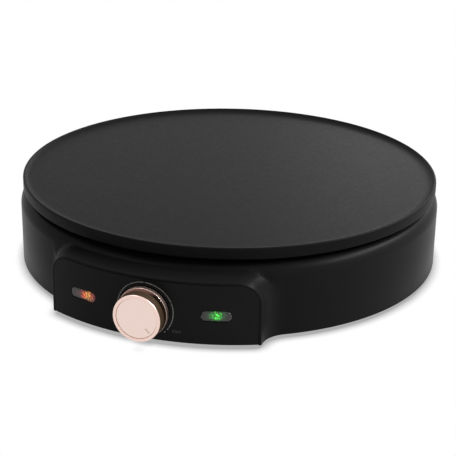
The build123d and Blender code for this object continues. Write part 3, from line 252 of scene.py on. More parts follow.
# slot: name, colour, metallic, specular level, grain's pitch and height, lowest and highest roughness.
# Most real grains are finer than these pitches, which are as coarse as they need to be to show.
plainFinishes = {
    # non-stick coat sprayed and baked on a cast plate: charcoal, satin, the spray's orange peel drawn coarser
    "coated_plate": ("ptfe_sprayed", "#131313", 0.0, 0.035, 2.0 * mm, 0.010 * mm, 0.40, 0.48),
    # ABS from a fine eroded mould: nearly black, satin, its edges catch the light
    "housing_plastic": ("abs_moulded", "#181818", 0.0, 0.029, 1.6 * mm, 0.004 * mm, 0.32, 0.38),
    # ABS from a polished mould: a touch glossier than the shell round it
    "panel_plastic": ("abs_polished_mould", "#1a1a1a", 0.0, 0.045, 2.4 * mm, 0.002 * mm, 0.20, 0.26),
    # polypropylene from a coarse eroded mould: matte and grainy
    "cover_plastic": ("polypropylene_eroded", "#1a1a1b", 0.0, 0.25, 1.2 * mm, 0.04 * mm, 0.55, 0.70),
    # rolled and zinc-plated sheet: pale grey, softly clouded
    "sheet_steel": ("steel_sheet_zinc_plated", "#b9babb", 1.0, 0.5, 2.0 * mm, 0.004 * mm, 0.28, 0.46),
    # cold-headed and zinc-plated screws: bright, faintly mottled
    "fastener_steel": ("steel_screw_zinc_plated", "#c4c5c6", 1.0, 0.5, 0.6 * mm, 0.0, 0.24, 0.38),
    # drawn copper, a little dulled
    "copper_tube": ("copper_drawn", "#c8795a", 1.0, 0.5, 0.8 * mm, 0.0, 0.26, 0.40),
    # stamped and turned brass: yellow, fairly bright
    "brass_parts": ("brass_turned", "#c9a65a", 1.0, 0.5, 0.6 * mm, 0.0, 0.24, 0.38),
    # unglazed steatite: chalky
    "ceramic_base": ("steatite_unglazed", "#e2ddd0", 0.0, 0.5, 0.8 * mm, 0.03 * mm, 0.66, 0.80),
    # natural nylon, waxy
    "holder_plastic": ("nylon_moulded", "#d9d6cc", 0.0, 0.5, 1.0 * mm, 0.01 * mm, 0.40, 0.52),
    # rubber with the bloom that dulls it
    "rubber_black": ("rubber_moulded", "#191919", 0.0, 0.3, 0.9 * mm, 0.03 * mm, 0.66, 0.82),
    # extruded silicone insulation: coloured right through, half matte
    "wire_brown": ("silicone_brown", "#4a2f22", 0.0, 0.5, 1.2 * mm, 0.01 * mm, 0.44, 0.58),
    "wire_blue": ("silicone_blue", "#2a4c9a", 0.0, 0.5, 1.2 * mm, 0.01 * mm, 0.44, 0.58),
    "wire_white": ("silicone_white", "#d8d7d2", 0.0, 0.5, 1.2 * mm, 0.01 * mm, 0.44, 0.58),
    # clear polycarbonate, for what of the lenses is left plain
    "clear_lens": ("polycarbonate_clear", "#565453", 0.0, 0.5, 1.1 * mm, 0.02 * mm, 0.10, 0.16),
    # pad-printed ink, dull and thin
    "printed_ink": ("ink_pad_printed", "#8b918e", 0.0, 0.2, 0.7 * mm, 0.0, 0.50, 0.70),
    "faded_ink": ("ink_pad_printed_thin", "#464a49", 0.0, 0.2, 0.7 * mm, 0.0, 0.50, 0.70),
    # the cap's pointer, filled with a brownish lacquer
    "pointer_ink": ("lacquer_in_groove", "#ccb0a6", 0.6, 0.5, 0.7 * mm, 0.0, 0.30, 0.45),
}

sheathLook = {
    "steel": "#6d6862",
    "patch": 7.0 * mm,  # size of the patches of heat tint
    "relief": 0.01 * mm,
    "roughness": (0.40, 0.58),
    "tints": ((0.0, "#4d5057"), (1.0, "#84765f")),
}


def annealedSheath():
    # the element's steel sheath after baking: dull grey with straw and blue heat tints
    look = sheathLook
    low, high = look["roughness"]
    material, tree, shader = newMaterial("steel_sheath_annealed", look["steel"], (low + high) / 2, 1.0)
    patches = addGrain(tree, shader, look["patch"], look["relief"], low, high)
    tree.links.new(colorRamp(tree, patches, look["tints"]), shader.inputs["Base Color"])
    return material


earthWireLook = {
    "green": "#2f7d32",
    "yellow": "#d8c52c",
    "roughness": 0.5,
    "bandScale": 60.0,  # along an axis the wave repeats every pi / 5 / scale metres, here every 10.5 mm
    "yellowFrom": 0.62,  # height on the wave, from 0 to 1, above which the wire is yellow
}


def earthWire():
    # silicone for the earth wire: green with yellow bands wound round it
    look = earthWireLook
    material, tree, shader = newMaterial("silicone_green_yellow", look["green"], look["roughness"])
    wave = addNode(
        tree,
        "ShaderNodeTexWave",
        {"bands_direction": "DIAGONAL", "Scale": look["bandScale"]},
        {"Vector": objectPlace(tree)},
    )
    stops = ((0.0, look["green"]), (look["yellowFrom"], look["yellow"]))
    tree.links.new(colorRamp(tree, wave.outputs["Fac"], stops, "CONSTANT"), shader.inputs["Base Color"])
    return material


neonLook = {
    "amber": "#ff9a45",
    "green": "#6fe05f",
    "roughness": 0.15,
    "cloud": 3.0 * mm,
    "glow": (1.2, 2.8),  # dimmest and brightest emission across the clouds
}


def neonLamp(name, color):
    # a neon lamp's glass with the gas lit inside, its glow a little clouded
    look = neonLook
    material, tree, shader = newMaterial(name, color, look["roughness"])
    noise = addNode(
        tree, "ShaderNodeTexNoise", {"Scale": 1 / look["cloud"], "Detail": 1.0}, {"Vector": objectPlace(tree)}
    )
    shader.inputs["Emission Color"].default_value = hexColor(color)
    glow = remap(tree, noise.outputs["Fac"], toRange=look["glow"])
    tree.links.new(glow, shader.inputs["Emission Strength"])
    return material


plateLook = {
    "thickness": 5.5 * mm,  # from the underside to the baking surface
    "lipFoot": 137.0 * mm,
    "crestWidth": 1.4 * mm,
    "lipHeight": 2.5 * mm,
    "lipPower": 5.0,  # how late the lip rises between its foot and its crest
    "rimRoundings": (1.0 * mm, 1.0 * mm, 0.1 * mm),  # rim's bottom, rim's top, crest's inner edge
    "crown": 0.10 * mm,  # the disc stands this much higher in its middle
    "grooveReach": 95.0 * mm,
    "grooveRadius": 4.05 * mm,
    "bossReach": 120.0 * mm,
    "bossRadius": 6.0 * mm,
    "bossHeight": 5.5 * mm,
    "bossRoot": 0.2 * mm,  # the bosses start this far inside the plate
    "bossTurns": 32,
    "threadRadius": 2.0 * mm,
    "turns": 288,
}


def plateProfile():
    # (r, z) out along the underside with the element's groove, up the rim, over the crest, down the lip,
    # z = surface + lip ((r - foot) / (crest - foot))^power, and in across the crowned disc,
    # z = surface + crown (1 - (r / foot)^2)
    look = plateLook
    top = plateHigh.z
    surface = top - look["lipHeight"]
    bottom = surface - look["thickness"]
    around = np.linspace(math.pi, 0, 11)
    groove = np.array([look["grooveReach"], bottom]) + look["grooveRadius"] * np.stack(
        [np.cos(around), np.sin(around)], axis=-1
    )
    foot, crest = look["lipFoot"], plateRadius - look["crestWidth"]
    share = (1 - np.linspace(0, 1, 26) ** 1.6)[1:]  # samples crowd together near the crest
    rise = look["lipHeight"] * share ** look["lipPower"]
    lip = np.stack([foot + (crest - foot) * share, surface + rise], axis=-1)
    corners = [(foot, bottom), (plateRadius, bottom), (plateRadius, top), (crest, top), tuple(lip[0])]
    rim = np.concatenate([roundCorners(corners, look["rimRoundings"], steps=8), lip[1:]])
    across = np.linspace(rim[-1, 0], 0, 20)
    disc = np.stack([across, surface + look["crown"] * (1 - (across / rim[-1, 0]) ** 2)], axis=-1)
    return np.concatenate([[(0.0, bottom)], groove, rim, disc[1:]]), bottom


def cookingPlate():
    # a lathe of the plate's profile, and four threaded bosses that are lathes of their own
    look = plateLook
    profile, bottom = plateProfile()
    parts = [gridPart(fromAxis(lathe(profile, look["turns"])), closeRows=True)]
    low, root = bottom - look["bossHeight"], bottom + look["bossRoot"]
    inner, outer = look["threadRadius"], look["bossRadius"]
    tube = [(inner, root), (inner, low), (outer, low), (outer, root)]
    for angle in plateSpokes:
        boss = lathe(tube, look["bossTurns"]) + onSpoke(look["bossReach"], angle)
        parts.append(gridPart(fromAxis(boss), closeRows=True, closeColumns=True))
    makePiece("cooking_plate_cast", parts, materials["coated_plate"], "base", ["cooking_plate"])


housingLook = {
    "bottom": 2.5 * mm,
    "wall": 2.5 * mm,
    "shoulderHeight": 52.8 * mm,
    "shoulderRadius": 9.5 * mm,
    "deckOpening": 129.0 * mm,
    "boxHalfWidth": 72.9 * mm,
    "flareRadius": 20.0 * mm,
    "boxEdgeRadius": 15.5 * mm,
    "boxFrontHeight": 46.0 * mm,
    "boxTopSlope": 10.0,
    "cornerRadius": 0.8 * mm,
    "frontRound": 0.8 * mm,
    "panelRim": 1.5 * mm,
    "edgeRound": 0.4 * mm,
    "edgeGap": 0.02 * mm,  # keeps the outer wall's top row just under the roof
    "valley": 1.2 * mm,  # height over which the box's top blends into the shoulder
    "valleyEnd": 1.0 * mm,  # the blend dies out over this height below the flat deck
    "steepness": 8.0,  # how fast both skins fall once they are past their wall
    "lugHeights": (36.0 * mm, 41.2 * mm),
    "lugReaches": (112.0 * mm, 128.0 * mm),
    "lugWidth": 14.0 * mm,
    "ribRoot": 0.1 * mm,  # the ribs reach this far into the lugs
    "bossAngles": (15, 75, 105, 165, 195, 345),
    "bossHeights": (5.0 * mm, 20.0 * mm),
    "bossReach": 145.5 * mm,
    "bossRadii": (1.5 * mm, 4.5 * mm),  # pilot hole, outside
    "bossTurns": 28,
}
flareX = housingLook["boxHalfWidth"] + housingLook["flareRadius"]
flareY = -math.sqrt((bodyRadius + housingLook["flareRadius"]) ** 2 - flareX**2)


def roofHeight(x, y, inset, frontRound):
    # Height of the skin over a plan point, for the skin moved inwards by inset.
    # Body: flat to the shoulder, then a quarter round, h = top - R + sqrt(R^2 - over^2).
    # Box: a cone that rises towards the plate, less a quarter round down to its side, flare or body wall.
    # The higher one counts, blended over the valley's height.
    look = housingLook
    r = np.hypot(x, y)
    top = look["shoulderHeight"] - inset
    shoulder = look["shoulderRadius"] - inset
    over = np.clip(r - (bodyRadius - look["shoulderRadius"]), 0, None)
    quarter = np.sqrt(np.clip(shoulder**2 - over**2, 0, None))
    body = top - shoulder + quarter - look["steepness"] * np.clip(over - shoulder, 0, None)

    beside = look["boxHalfWidth"] - np.abs(x)
    flare = np.hypot(np.abs(x) - flareX, y - flareY) - look["flareRadius"]
    pastFlare = -np.abs(x) * flareY > -y * flareX
    fromWall = np.where(pastFlare, bodyRadius - r, np.where(y < flareY, beside, flare)) - inset
    rise = math.tan(math.radians(look["boxTopSlope"]))
    cone = np.minimum(look["boxFrontHeight"] - inset + rise * (boxReach - r), top)
    edge = look["boxEdgeRadius"] - inset
    quarter = np.sqrt(edge**2 - np.clip(edge - fromWall, 0, edge) ** 2)
    box = cone - edge + quarter - look["steepness"] * np.clip(-fromWall, 0, None)
    if frontRound > 0:
        close = np.clip(frontRound - (boxReach - r), 0, frontRound)
        box = box - frontRound + np.sqrt(frontRound**2 - close**2)

    leastBlend = 0.001  # keeps the share from dividing by nought
    blend = look["valley"] * np.clip((top - body) / look["valleyEnd"], leastBlend, 1)
    share = np.clip(0.5 + 0.5 * (box - body) / blend, 0, 1)
    return body * (1 - share) + box * share + blend * share * (1 - share)


def housingOutline():
    # The right half of the plan, from the front's middle round to the back's middle: points, outward normals,
    # the points behind them on the wall's inside, and which columns stand over the panel's opening.
    look = housingLook
    wall = look["wall"]
    openAngle = math.asin((look["boxHalfWidth"] - look["panelRim"]) / boxReach)
    innerAngle = math.asin((look["boxHalfWidth"] - wall) / (boxReach - wall))
    cornerX = look["boxHalfWidth"] - look["cornerRadius"]
    corner = np.array([cornerX, -math.sqrt((boxReach - look["cornerRadius"]) ** 2 - cornerX**2)])
    cornerAngle = math.atan2(corner[0], -corner[1])

    # the opening's rounded corner falls steeply at its end, so the columns crowd together there
    share = 1 - (1 - np.linspace(0, 1, 64)) ** 2.2
    front = openAngle * share
    strip = np.linspace(openAngle, cornerAngle, 3)[:-1]
    onFront = np.concatenate([front, strip])
    frontNormal = np.stack([np.sin(onFront), -np.cos(onFront)], axis=-1)
    limited = np.minimum(onFront, innerAngle)
    frontInner = (boxReach - wall) * np.stack([np.sin(limited), -np.cos(limited)], axis=-1)

    turn = np.linspace(cornerAngle - math.pi / 2, 0, 6)
    cornerNormal = np.stack([np.cos(turn), np.sin(turn)], axis=-1)
    cornerPoints = corner + look["cornerRadius"] * cornerNormal
    cornerInner = np.repeat(frontInner[-1:], len(turn), axis=0)

    side = np.linspace(corner[1], flareY, 4)[1:-1]
    sidePoints = np.stack([np.full(len(side), look["boxHalfWidth"]), side], axis=-1)
    sideNormal = np.tile([1.0, 0.0], (len(side), 1))
    innerX, innerY = frontInner[-1]
    sideInner = np.stack([np.full(len(side), innerX), np.maximum(side, innerY)], axis=-1)

    turn = np.linspace(math.pi, math.atan2(-flareY, -flareX), 18)
    flareNormal = -np.stack([np.cos(turn), np.sin(turn)], axis=-1)
    flarePoints = np.array([flareX, flareY]) - look["flareRadius"] * flareNormal

    around = np.linspace(math.atan2(flareX, -flareY), math.pi, 130)[1:]
    bodyNormal = np.stack([np.sin(around), -np.cos(around)], axis=-1)

    curved = np.concatenate([flarePoints, bodyRadius * bodyNormal])
    curvedNormal = np.concatenate([flareNormal, bodyNormal])
    points = np.concatenate([boxReach * frontNormal, cornerPoints, sidePoints, curved])
    normals = np.concatenate([frontNormal, cornerNormal, sideNormal, curvedNormal])
    behind = np.concatenate([frontInner, cornerInner, sideInner, curved - wall * curvedNormal])
    return points, normals, behind, np.arange(len(points)) < len(front)


def bothHalves(rows, sign=(-1.0, 1.0)):
    # the right half's rows, then their mirror images from the back's middle round to the front's
    return np.concatenate([rows, rows[-2:0:-1] * np.array(sign)])


def housingShell():
    # Each column of the grid is a closed loop: out along the inside of the roof, down the inner wall, round
    # the bottom edge, up the outer wall, and in over the roof to the deck's opening.
    look = housingLook
    points, normals, behind, opening = housingOutline()
    points, normals, behind = bothHalves(points), bothHalves(normals), bothHalves(behind)
    opening = bothHalves(opening, 1).astype(bool)

    openTop = roofHeight(points[:, 0], points[:, 1], look["panelRim"], 0.0)
    base = np.where(opening, openTop, look["bottom"])
    jambTop = openTop[opening].min()  # where the opening's side meets its rounded top
    roofEdge = roofHeight(points[:, 0], points[:, 1], 0.0, look["frontRound"])
    deckEdge = look["deckOpening"] * points / np.linalg.norm(points, axis=1, keepdims=True)
    innerEdge = look["deckOpening"] * behind / np.linalg.norm(behind, axis=1, keepdims=True)

    def row(plan, height):
        return np.concatenate([plan, height[:, None]], axis=-1)

    # both roofs are sampled most closely towards the outer wall, where they curve
    rows = []
    for share in np.linspace(0, 1, 12) ** 0.7:
        plan = innerEdge + (behind - innerEdge) * share
        height = roofHeight(plan[:, 0], plan[:, 1], look["wall"], 0.0)
        rows.append(row(plan, np.maximum(height, base) if share == 1 else height))
    jamb = np.where(opening, base, jambTop)
    rows.append(row(behind, jamb))
    rows.append(row(behind, base))
    for angle in np.radians([0, 30, 60, 90]):
        plan = points - normals * look["edgeRound"] * (1 - math.sin(angle))
        rows.append(row(plan, base + look["edgeRound"] * (1 - math.cos(angle))))
    rows.append(row(points, np.minimum(jamb + look["edgeRound"], roofEdge - look["edgeGap"])))
    for share in np.linspace(0, 1, 36) ** 2:
        plan = points + (deckEdge - points) * share
        rows.append(row(plan, roofHeight(plan[:, 0], plan[:, 1], 0.0, look["frontRound"])))
    return gridPart(fromAxis(np.stack(rows, axis=1)), closeRows=True, closeColumns=True)


def prism(profile, angle, halfWidth):
    # an upright slab on a spoke: its (reach, height) outline on both sides, each closed to its middle
    profile = np.asarray(profile, float)
    middle = np.repeat(profile.mean(0)[None], len(profile), axis=0)
    loops = np.stack([middle, profile, profile, middle])
    offset = np.array([-halfWidth, -halfWidth, halfWidth, halfWidth])[:, None]
    x = loops[..., 0] * math.cos(angle) - offset * math.sin(angle)
    y = loops[..., 0] * math.sin(angle) + offset * math.cos(angle)
    return gridPart(fromAxis(np.stack([x, y, loops[..., 1]], axis=-1)), closeColumns=True)


def housingInside():
    # four lugs on ribs that carry the plate's screws, and six bosses for the bottom cover's screws
    look = housingLook
    bossFoot, bossTop = look["bossHeights"]
    low, high = look["lugHeights"]
    inner, ribInner = look["lugReaches"]
    outer = bodyRadius - look["wall"] / 2
    ribTop = low + look["ribRoot"]
    lug = [(inner, low), (outer, low), (outer, high), (inner, high)]
    rib = [(ribInner, ribTop), (outer, bossTop), (outer, ribTop)]
    parts = []
    for angle in plateSpokes:
        parts.append(prism(lug, angle, look["lugWidth"] / 2))
        parts.append(prism(rib, angle, look["wall"] / 2))

    pilot, radius = look["bossRadii"]
    blindEnd = bossTop - look["wall"]
    hole = [(0.0, blindEnd), (pilot, blindEnd), (pilot, bossFoot)]
    profile = hole + [(radius, bossFoot), (radius, bossTop), (0.0, bossTop)]
    for angle in np.radians(look["bossAngles"]):
        boss = lathe(profile, look["bossTurns"]) + onSpoke(look["bossReach"], angle)
        parts.append(gridPart(fromAxis(boss), closeRows=True))
    return parts


def housing():
    # the shell and what is moulded to its inside are one piece
    parts = [housingShell()] + housingInside()
    makePiece("housing_shell", parts, materials["housing_plastic"], "base", ["housing"], sharpAngle=40.0)


knobLook = {
    "skirtFront": 4.2 * mm,  # this and the disc's back are measured from the panel's face
    "discBack": 6.8 * mm,
    "waistRadius": 13.6 * mm,
    "discRadius": 16.0 * mm,
    "rimInner": 13.85 * mm,
    "recess": 1.5 * mm,
    # skirt's back and front edge, the waist's two ends, disc's back and front edge, rim's inner edge and foot
    "roundings": (0.4 * mm, 0.3 * mm, 0.8 * mm, 0.8 * mm, 0.5 * mm, 0.8 * mm, 0.3 * mm, 0.1 * mm),
    "bore": 3.05 * mm,
    "boreEnd": 4.2 * mm,  # behind the knob's front
    "hub": 6.0 * mm,
    "hollow": 11.8 * mm,
    "hollowEnd": 3.0 * mm,  # in front of the disc's back
    "turns": 160,
    "coat": "#efd3c9",
    "coatRoughness": 0.34,
    "coatSpecular": 0.12,
    # colour of the painted shade behind the rim, colour of the painted light on it near the skirt, and the
    # painted shade's metal and roughness
    "paintedShade": "#3c2e20",
    "paintedLight": "#f0b8aa",
    "paintedShadeMetal": 0.12,
    "paintedShadeRoughness": 0.62,
    "rimFade": (0.5 * mm, 1.1 * mm),  # this far behind the knob's front the coat gives way to the painted shade
    "skirtFade": 0.15 * mm,  # and this far behind the skirt's front it is back
    "paintedLightAngle": 104.0,  # degrees from the right, anticlockwise: the side where painted light from above makes the painted shade near the skirt palest
    "paintedLightHeight": (10.0 * mm, 14.0 * mm),  # it starts and is full this far from the knob's axis, to that side
    "paintedLightDepth": (0.9 * mm, 0.2 * mm),  # and this far in front of the skirt
    "capEdge": 0.35 * mm,
    "capBackEdge": 0.1 * mm,
    "capCrown": 0.12 * mm,
    "spun": "#ecd5cc",
    "spunPitch": 0.8 * mm,  # drawn coarser than the real rings, so that they show
    "spunRoughness": (0.24, 0.36),
    "pointer": (8.6 * mm, 12.4 * mm, 0.45 * mm),  # from, to, half width
    "pointerAngle": -45.0,  # at rest the knob stands at the end of its scale
    "pointerLift": 0.01 * mm,
}


def vapourCoat():
    # rose gold deposited on ABS from a vapour, satin; behind the disc's rim it is dulled to a brown, less
    # metallic and rougher, as painted shade, and above, near the skirt, that painted shade is made pale, as
    # painted light from above
    look = knobLook
    material, tree, shader = newMaterial(
        "rose_gold_vapour_coat", look["coat"], look["coatRoughness"], 1.0, look["coatSpecular"]
    )
    place = objectPlace(tree)
    depth = addNode(tree, "ShaderNodeSeparateXYZ", {}, {"Vector": place}).outputs["Y"]
    rim = axisY - knobReach
    skirt = axisY - boxReach - look["skirtFront"]
    rimStart, rimEnd = look["rimFade"]
    # painted shade: from just behind the knob's front back to the skirt's front, over the disc's back and the
    # waist
    behindRim = remap(tree, depth, (rim + rimStart, rim + rimEnd))
    beforeSkirt = remap(tree, depth, (skirt + look["skirtFade"], skirt))
    paintedShade = joined(tree, "MULTIPLY", beforeSkirt, behindRim)

    # how far a point lies from the knob's axis towards the side of the painted light
    turn = math.radians(look["paintedLightAngle"])
    side = addNode(
        tree,
        "ShaderNodeVectorMath",
        {"operation": "DOT_PRODUCT", 1: (math.cos(turn), 0.0, math.sin(turn))},
        {0: place},
    ).outputs["Value"]
    axisLevel = knobHeight * math.sin(turn)
    lightStart, lightEnd = look["paintedLightHeight"]
    paintedLightSide = remap(tree, side, (axisLevel + lightStart, axisLevel + lightEnd))
    far, near = look["paintedLightDepth"]
    nearSkirt = remap(tree, depth, (skirt - far, skirt - near))
    paintedLightShare = joined(tree, "MULTIPLY", paintedLightSide, nearSkirt)
    # the painted shade's colour, made pale where painted light from above falls near the skirt
    paintedShadeAndLight = colorRamp(tree, paintedLightShare, ((0.0, look["paintedShade"]), (1.0, look["paintedLight"])))
    color = addNode(
        tree, "ShaderNodeMix", {"data_type": "RGBA", 6: hexColor(look["coat"])}, {0: paintedShade, 7: paintedShadeAndLight}
    )
    metal = remap(tree, paintedShade, toRange=(1.0, look["paintedShadeMetal"]))
    rough = remap(tree, paintedShade, toRange=(look["coatRoughness"], look["paintedShadeRoughness"]))
    tree.links.new(color.outputs[2], shader.inputs["Base Color"])
    tree.links.new(metal, shader.inputs["Metallic"])
    tree.links.new(rough, shader.inputs["Roughness"])
    return material


def spunFace():
    # the knob cap is the same rose gold, spun: hair-fine rings spread its highlights across them
    look = knobLook
    low, high = look["spunRoughness"]
    material, tree, shader = newMaterial("rose_gold_spun", look["spun"], (low + high) / 2, 1.0)
    centre = addNode(
        tree, "ShaderNodeMapping", {"Location": (0.0, 0.0, -knobHeight)}, {"Vector": objectPlace(tree)}
    )
    apart = addNode(tree, "ShaderNodeSeparateXYZ", {}, {"Vector": centre.outputs["Vector"]})
    flat = addNode(tree, "ShaderNodeCombineXYZ", {}, {"X": apart.outputs["X"], "Z": apart.outputs["Z"]})
    radius = addNode(tree, "ShaderNodeVectorMath", {"operation": "LENGTH"}, {0: flat.outputs["Vector"]})
    rings = addNode(
        tree,
        "ShaderNodeTexNoise",
        {"noise_dimensions": "1D", "Scale": 1 / look["spunPitch"], "Detail": 2.0},
        {"W": radius.outputs["Value"]},
    )
    tree.links.new(remap(tree, rings.outputs["Fac"], toRange=(low, high)), shader.inputs["Roughness"])
    return material


def knobShell():
    # a lathe: profile (radius, reach) from the bore out over the skirt, in to the waist, and out to the disc
    look = knobLook
    floor = knobReach - look["recess"]
    skirtFront = boxReach + look["skirtFront"]
    discBack = boxReach + look["discBack"]
    boreEnd = knobReach - look["boreEnd"]
    hollowEnd = discBack + look["hollowEnd"]
    inner = [
        (0.0, boreEnd),
        (look["bore"], boreEnd),
        (look["bore"], knobBack),
        (look["hub"], knobBack),
        (look["hub"], hollowEnd),
        (look["hollow"], hollowEnd),
    ]
    outer = [
        (look["hollow"], knobBack),
        (knobRadius, knobBack),
        (knobRadius, skirtFront),
        (look["waistRadius"], skirtFront),
        (look["waistRadius"], discBack),
        (look["discRadius"], discBack),
        (look["discRadius"], knobReach),
        (look["rimInner"], knobReach),
        (look["rimInner"], floor),
        (0.0, floor),
    ]
    profile = np.concatenate([inner, roundCorners(outer, look["roundings"], steps=7)])
    part = gridPart(ontoKnobAxis(lathe(profile, look["turns"])), closeRows=True)
    makePiece("knob_coated_shell", [part], materials["knob_shell"], "knob", ["knob"], sharpAngle=40.0)


def capFace(r):
    # the cap's crowned face: reach = front - crown (r / flat radius)^2
    flat = capRadius - 2 * knobLook["capEdge"]
    return capReach - knobLook["capCrown"] * (r / flat) ** 2


def knobCap():
    # a lathe: a thin disc with a soft edge and a crowned face
    look = knobLook
    edge = look["capEdge"]
    shoulder = capReach - look["capCrown"]
    flat = capRadius - 2 * edge
    corners = [(0.0, capBack), (capRadius, capBack), (capRadius, shoulder), (flat, shoulder)]
    side = roundCorners(corners, [look["capBackEdge"], edge])
    across = np.linspace(flat, 0, 14)
    profile = np.concatenate([side[:-1], np.stack([across, capFace(across)], axis=-1)])
    part = gridPart(ontoKnobAxis(lathe(profile, look["turns"])), closeRows=True)
    makePiece("knob_cap_spun", [part], materials["knob_face"], "knob", ["knob_cap"])


def knobPointer():
    # a ribbon along one radius of the cap's crowned face, a hair above it
    look = knobLook
    start, end, halfWidth = look["pointer"]
    angle = math.radians(look["pointerAngle"])
    r = np.linspace(start, end, 9)[:, None]
    offset = halfWidth * np.linspace(-1, 1, 3)[None, :]
    x = r * math.cos(angle) - offset * math.sin(angle)
    y = r * math.sin(angle) + offset * math.cos(angle)
    z = capFace(np.hypot(x, y)) + look["pointerLift"]
    part = gridPart(ontoKnobAxis(np.stack([x, y, z], axis=-1)))
    makePiece("knob_pointer", [part], materials["pointer_ink"], "knob")


windowLook = {
    "angle": 16.2,
    "length": 20.0 * mm,
    "width": 7.0 * mm,
    "frontLift": 0.3 * mm,  # the lens stands this far out of the panel
    "flangeDepth": 3.05 * mm,  # the flange bears on the panel's back
    "flangeThickness": 1.4 * mm,
    "flangeMargin": 2.0 * mm,
    "bevel": 0.6 * mm,
    "bevelShape": ((0.0, 1.0), (0.3, 0.6), (1.0, 0.15)),  # inward and below the dome's foot, in bevels
    "dome": 0.15 * mm,
    "domeStart": 1.3,  # in bevels, from the lens's edge
    "grey": "#2b2928",
    "roughness": 0.16,
    "facet": 1.5 * mm,  # pitch of the prisms on the lens's back, drawn coarser than the real 1 mm
    "facetSpread": 0.9,  # how unevenly they lie
    "facetReach": (0.1, 0.6),  # from a prism's middle to its edge, in pitches
    "facetGlow": (1.8, 0.25),  # glow at its middle and at its edge
    "facetRelief": 0.10 * mm,
    "brightness": 1.15,
    "lampHeight": 0.7 * mm,  # the lamps sit this far above the windows' middles
    "fadeReach": (0.10, 0.5),  # shares of the width, up and down from the lamp, between which the glow fades
    "edgeGlow": 0.12,
    # glow along the window, left to right: share of the length and colour
    "orange": (
        (0.12, "#000000"),
        (0.26, "#2c1820"),
        (0.38, "#3a1a1c"),
        (0.48, "#a03218"),
        (0.60, "#e8641c"),
        (0.74, "#ffb347"),
        (0.84, "#f07030"),
        (0.97, "#7c1c20"),
    ),
    "green": (
        (0.14, "#000000"),
        (0.24, "#06300f"),
        (0.38, "#148a26"),
        (0.49, "#4cf04a"),
        (0.58, "#38d83c"),
        (0.70, "#0f6a20"),
        (0.84, "#000000"),
    ),
}


def litLens(name, angle, glow):
    # clear polycarbonate with prisms behind it: smoky grey, with the light of the lamp behind it painted on
    # as a glow, broken up into grains
    look = windowLook
    material, tree, shader = newMaterial(name, look["grey"], look["roughness"])
    turn = math.radians(angle)
    middle = (boxReach * math.sin(turn), axisY - boxReach * math.cos(turn), windowHeight)
    moved = addNode(
        tree, "ShaderNodeVectorMath", {"operation": "SUBTRACT", 1: middle}, {0: objectPlace(tree)}
    )
    local = addNode(
        tree,
        "ShaderNodeVectorRotate",
        {"rotation_type": "Z_AXIS", "Angle": -turn},
        {"Vector": moved.outputs["Vector"]},
    ).outputs["Vector"]
    apart = addNode(tree, "ShaderNodeSeparateXYZ", {}, {"Vector": local})
    along = remap(tree, apart.outputs["X"], (-look["length"] / 2, look["length"] / 2))
    above = addNode(
        tree, "ShaderNodeMath", {"operation": "SUBTRACT", 1: look["lampHeight"]}, {0: apart.outputs["Z"]}
    )
    off = addNode(tree, "ShaderNodeMath", {"operation": "ABSOLUTE"}, {0: above.outputs[0]}).outputs[0]
    fadeReach = [share * look["width"] for share in look["fadeReach"]]
    fade = remap(tree, off, fadeReach, (1.0, look["edgeGlow"]), "SMOOTHSTEP")
    prisms = addNode(
        tree,
        "ShaderNodeTexVoronoi",
        {"Scale": 1 / look["facet"], "Randomness": look["facetSpread"]},
        {"Vector": local},
    ).outputs["Distance"]
    facetGlow = [share * look["brightness"] for share in look["facetGlow"]]
    grains = remap(tree, prisms, look["facetReach"], facetGlow)
    bump = addNode(tree, "ShaderNodeBump", {"Distance": look["facetRelief"]}, {"Height": prisms})
    tree.links.new(bump.outputs["Normal"], shader.inputs["Normal"])
    # painted glow: emission along the window, dimmed away from the lamp's height and broken into grains
    tree.links.new(colorRamp(tree, along, glow), shader.inputs["Emission Color"])
    tree.links.new(joined(tree, "MULTIPLY", fade, grains), shader.inputs["Emission Strength"])
    return material


def slotRing(length, width, count=48):
    # a slot's outline: two half circles, x = +-a + r cos t, y = r sin t
    t = np.linspace(0, 2 * math.pi, count, endpoint=False) + math.pi / count
    apart, radius = (length - width) / 2, width / 2
    return np.stack([apart * np.sign(np.cos(t)) + radius * np.cos(t), radius * np.sin(t)], axis=-1)


def lensPiece(name, node, angle, material):
    # rings of the slot's outline, each at its own inset and reach: the flange behind, the neck through the
    # panel, the bevel, and a low dome, reach = front - dome (1 - inset / half width)^2
    look = windowLook
    turn = math.radians(angle)
    front = boxReach + look["frontLift"]
    flange = boxReach - look["flangeDepth"]
    back = flange - look["flangeThickness"]
    half, margin = look["width"] / 2, look["flangeMargin"]
    bevel, dome = look["bevel"], look["dome"]
    steps = [(half, back), (-margin, back), (-margin, flange), (0.0, flange)]
    steps += [(inward * bevel, front - dome - below * bevel) for inward, below in look["bevelShape"]]
    insets = np.linspace(look["domeStart"] * bevel, half, 7)
    steps += [(inset, front - dome * (1 - inset / half) ** 2) for inset in insets]
    rings = []
    for inset, reach in steps:
        ring = slotRing(look["length"] - 2 * inset, 2 * (half - inset))
        x = reach * math.sin(turn) + ring[:, 0] * math.cos(turn)
        y = -reach * math.cos(turn) + ring[:, 0] * math.sin(turn)
        rings.append(np.stack([x, y, windowHeight + ring[:, 1]], axis=-1))
    part = gridPart(fromAxis(np.stack(rings)), closeColumns=True)
    makePiece(name, [part], material, "base", [node], sharpAngle=25.0)


printLook = {
    "scaleRadius": 19.1 * mm,
    "lineWidth": 0.42 * mm,
    "ends": (218.0, -38.0),  # degrees from the right, anticlockwise
    "gaps": (157.5, 90.0, 22.5),
    "gapWidth": 2.4,
    "dotAngle": 45.0,  # below the horizontal, on both sides
    "dotRadius": 0.4 * mm,
    "textSize": 2.7 * mm,
    "textPlace": (21.4 * mm, 9.6 * mm),  # middle and foot of the right word; the left word mirrors it
    "inkHeight": 0.03 * mm,
}


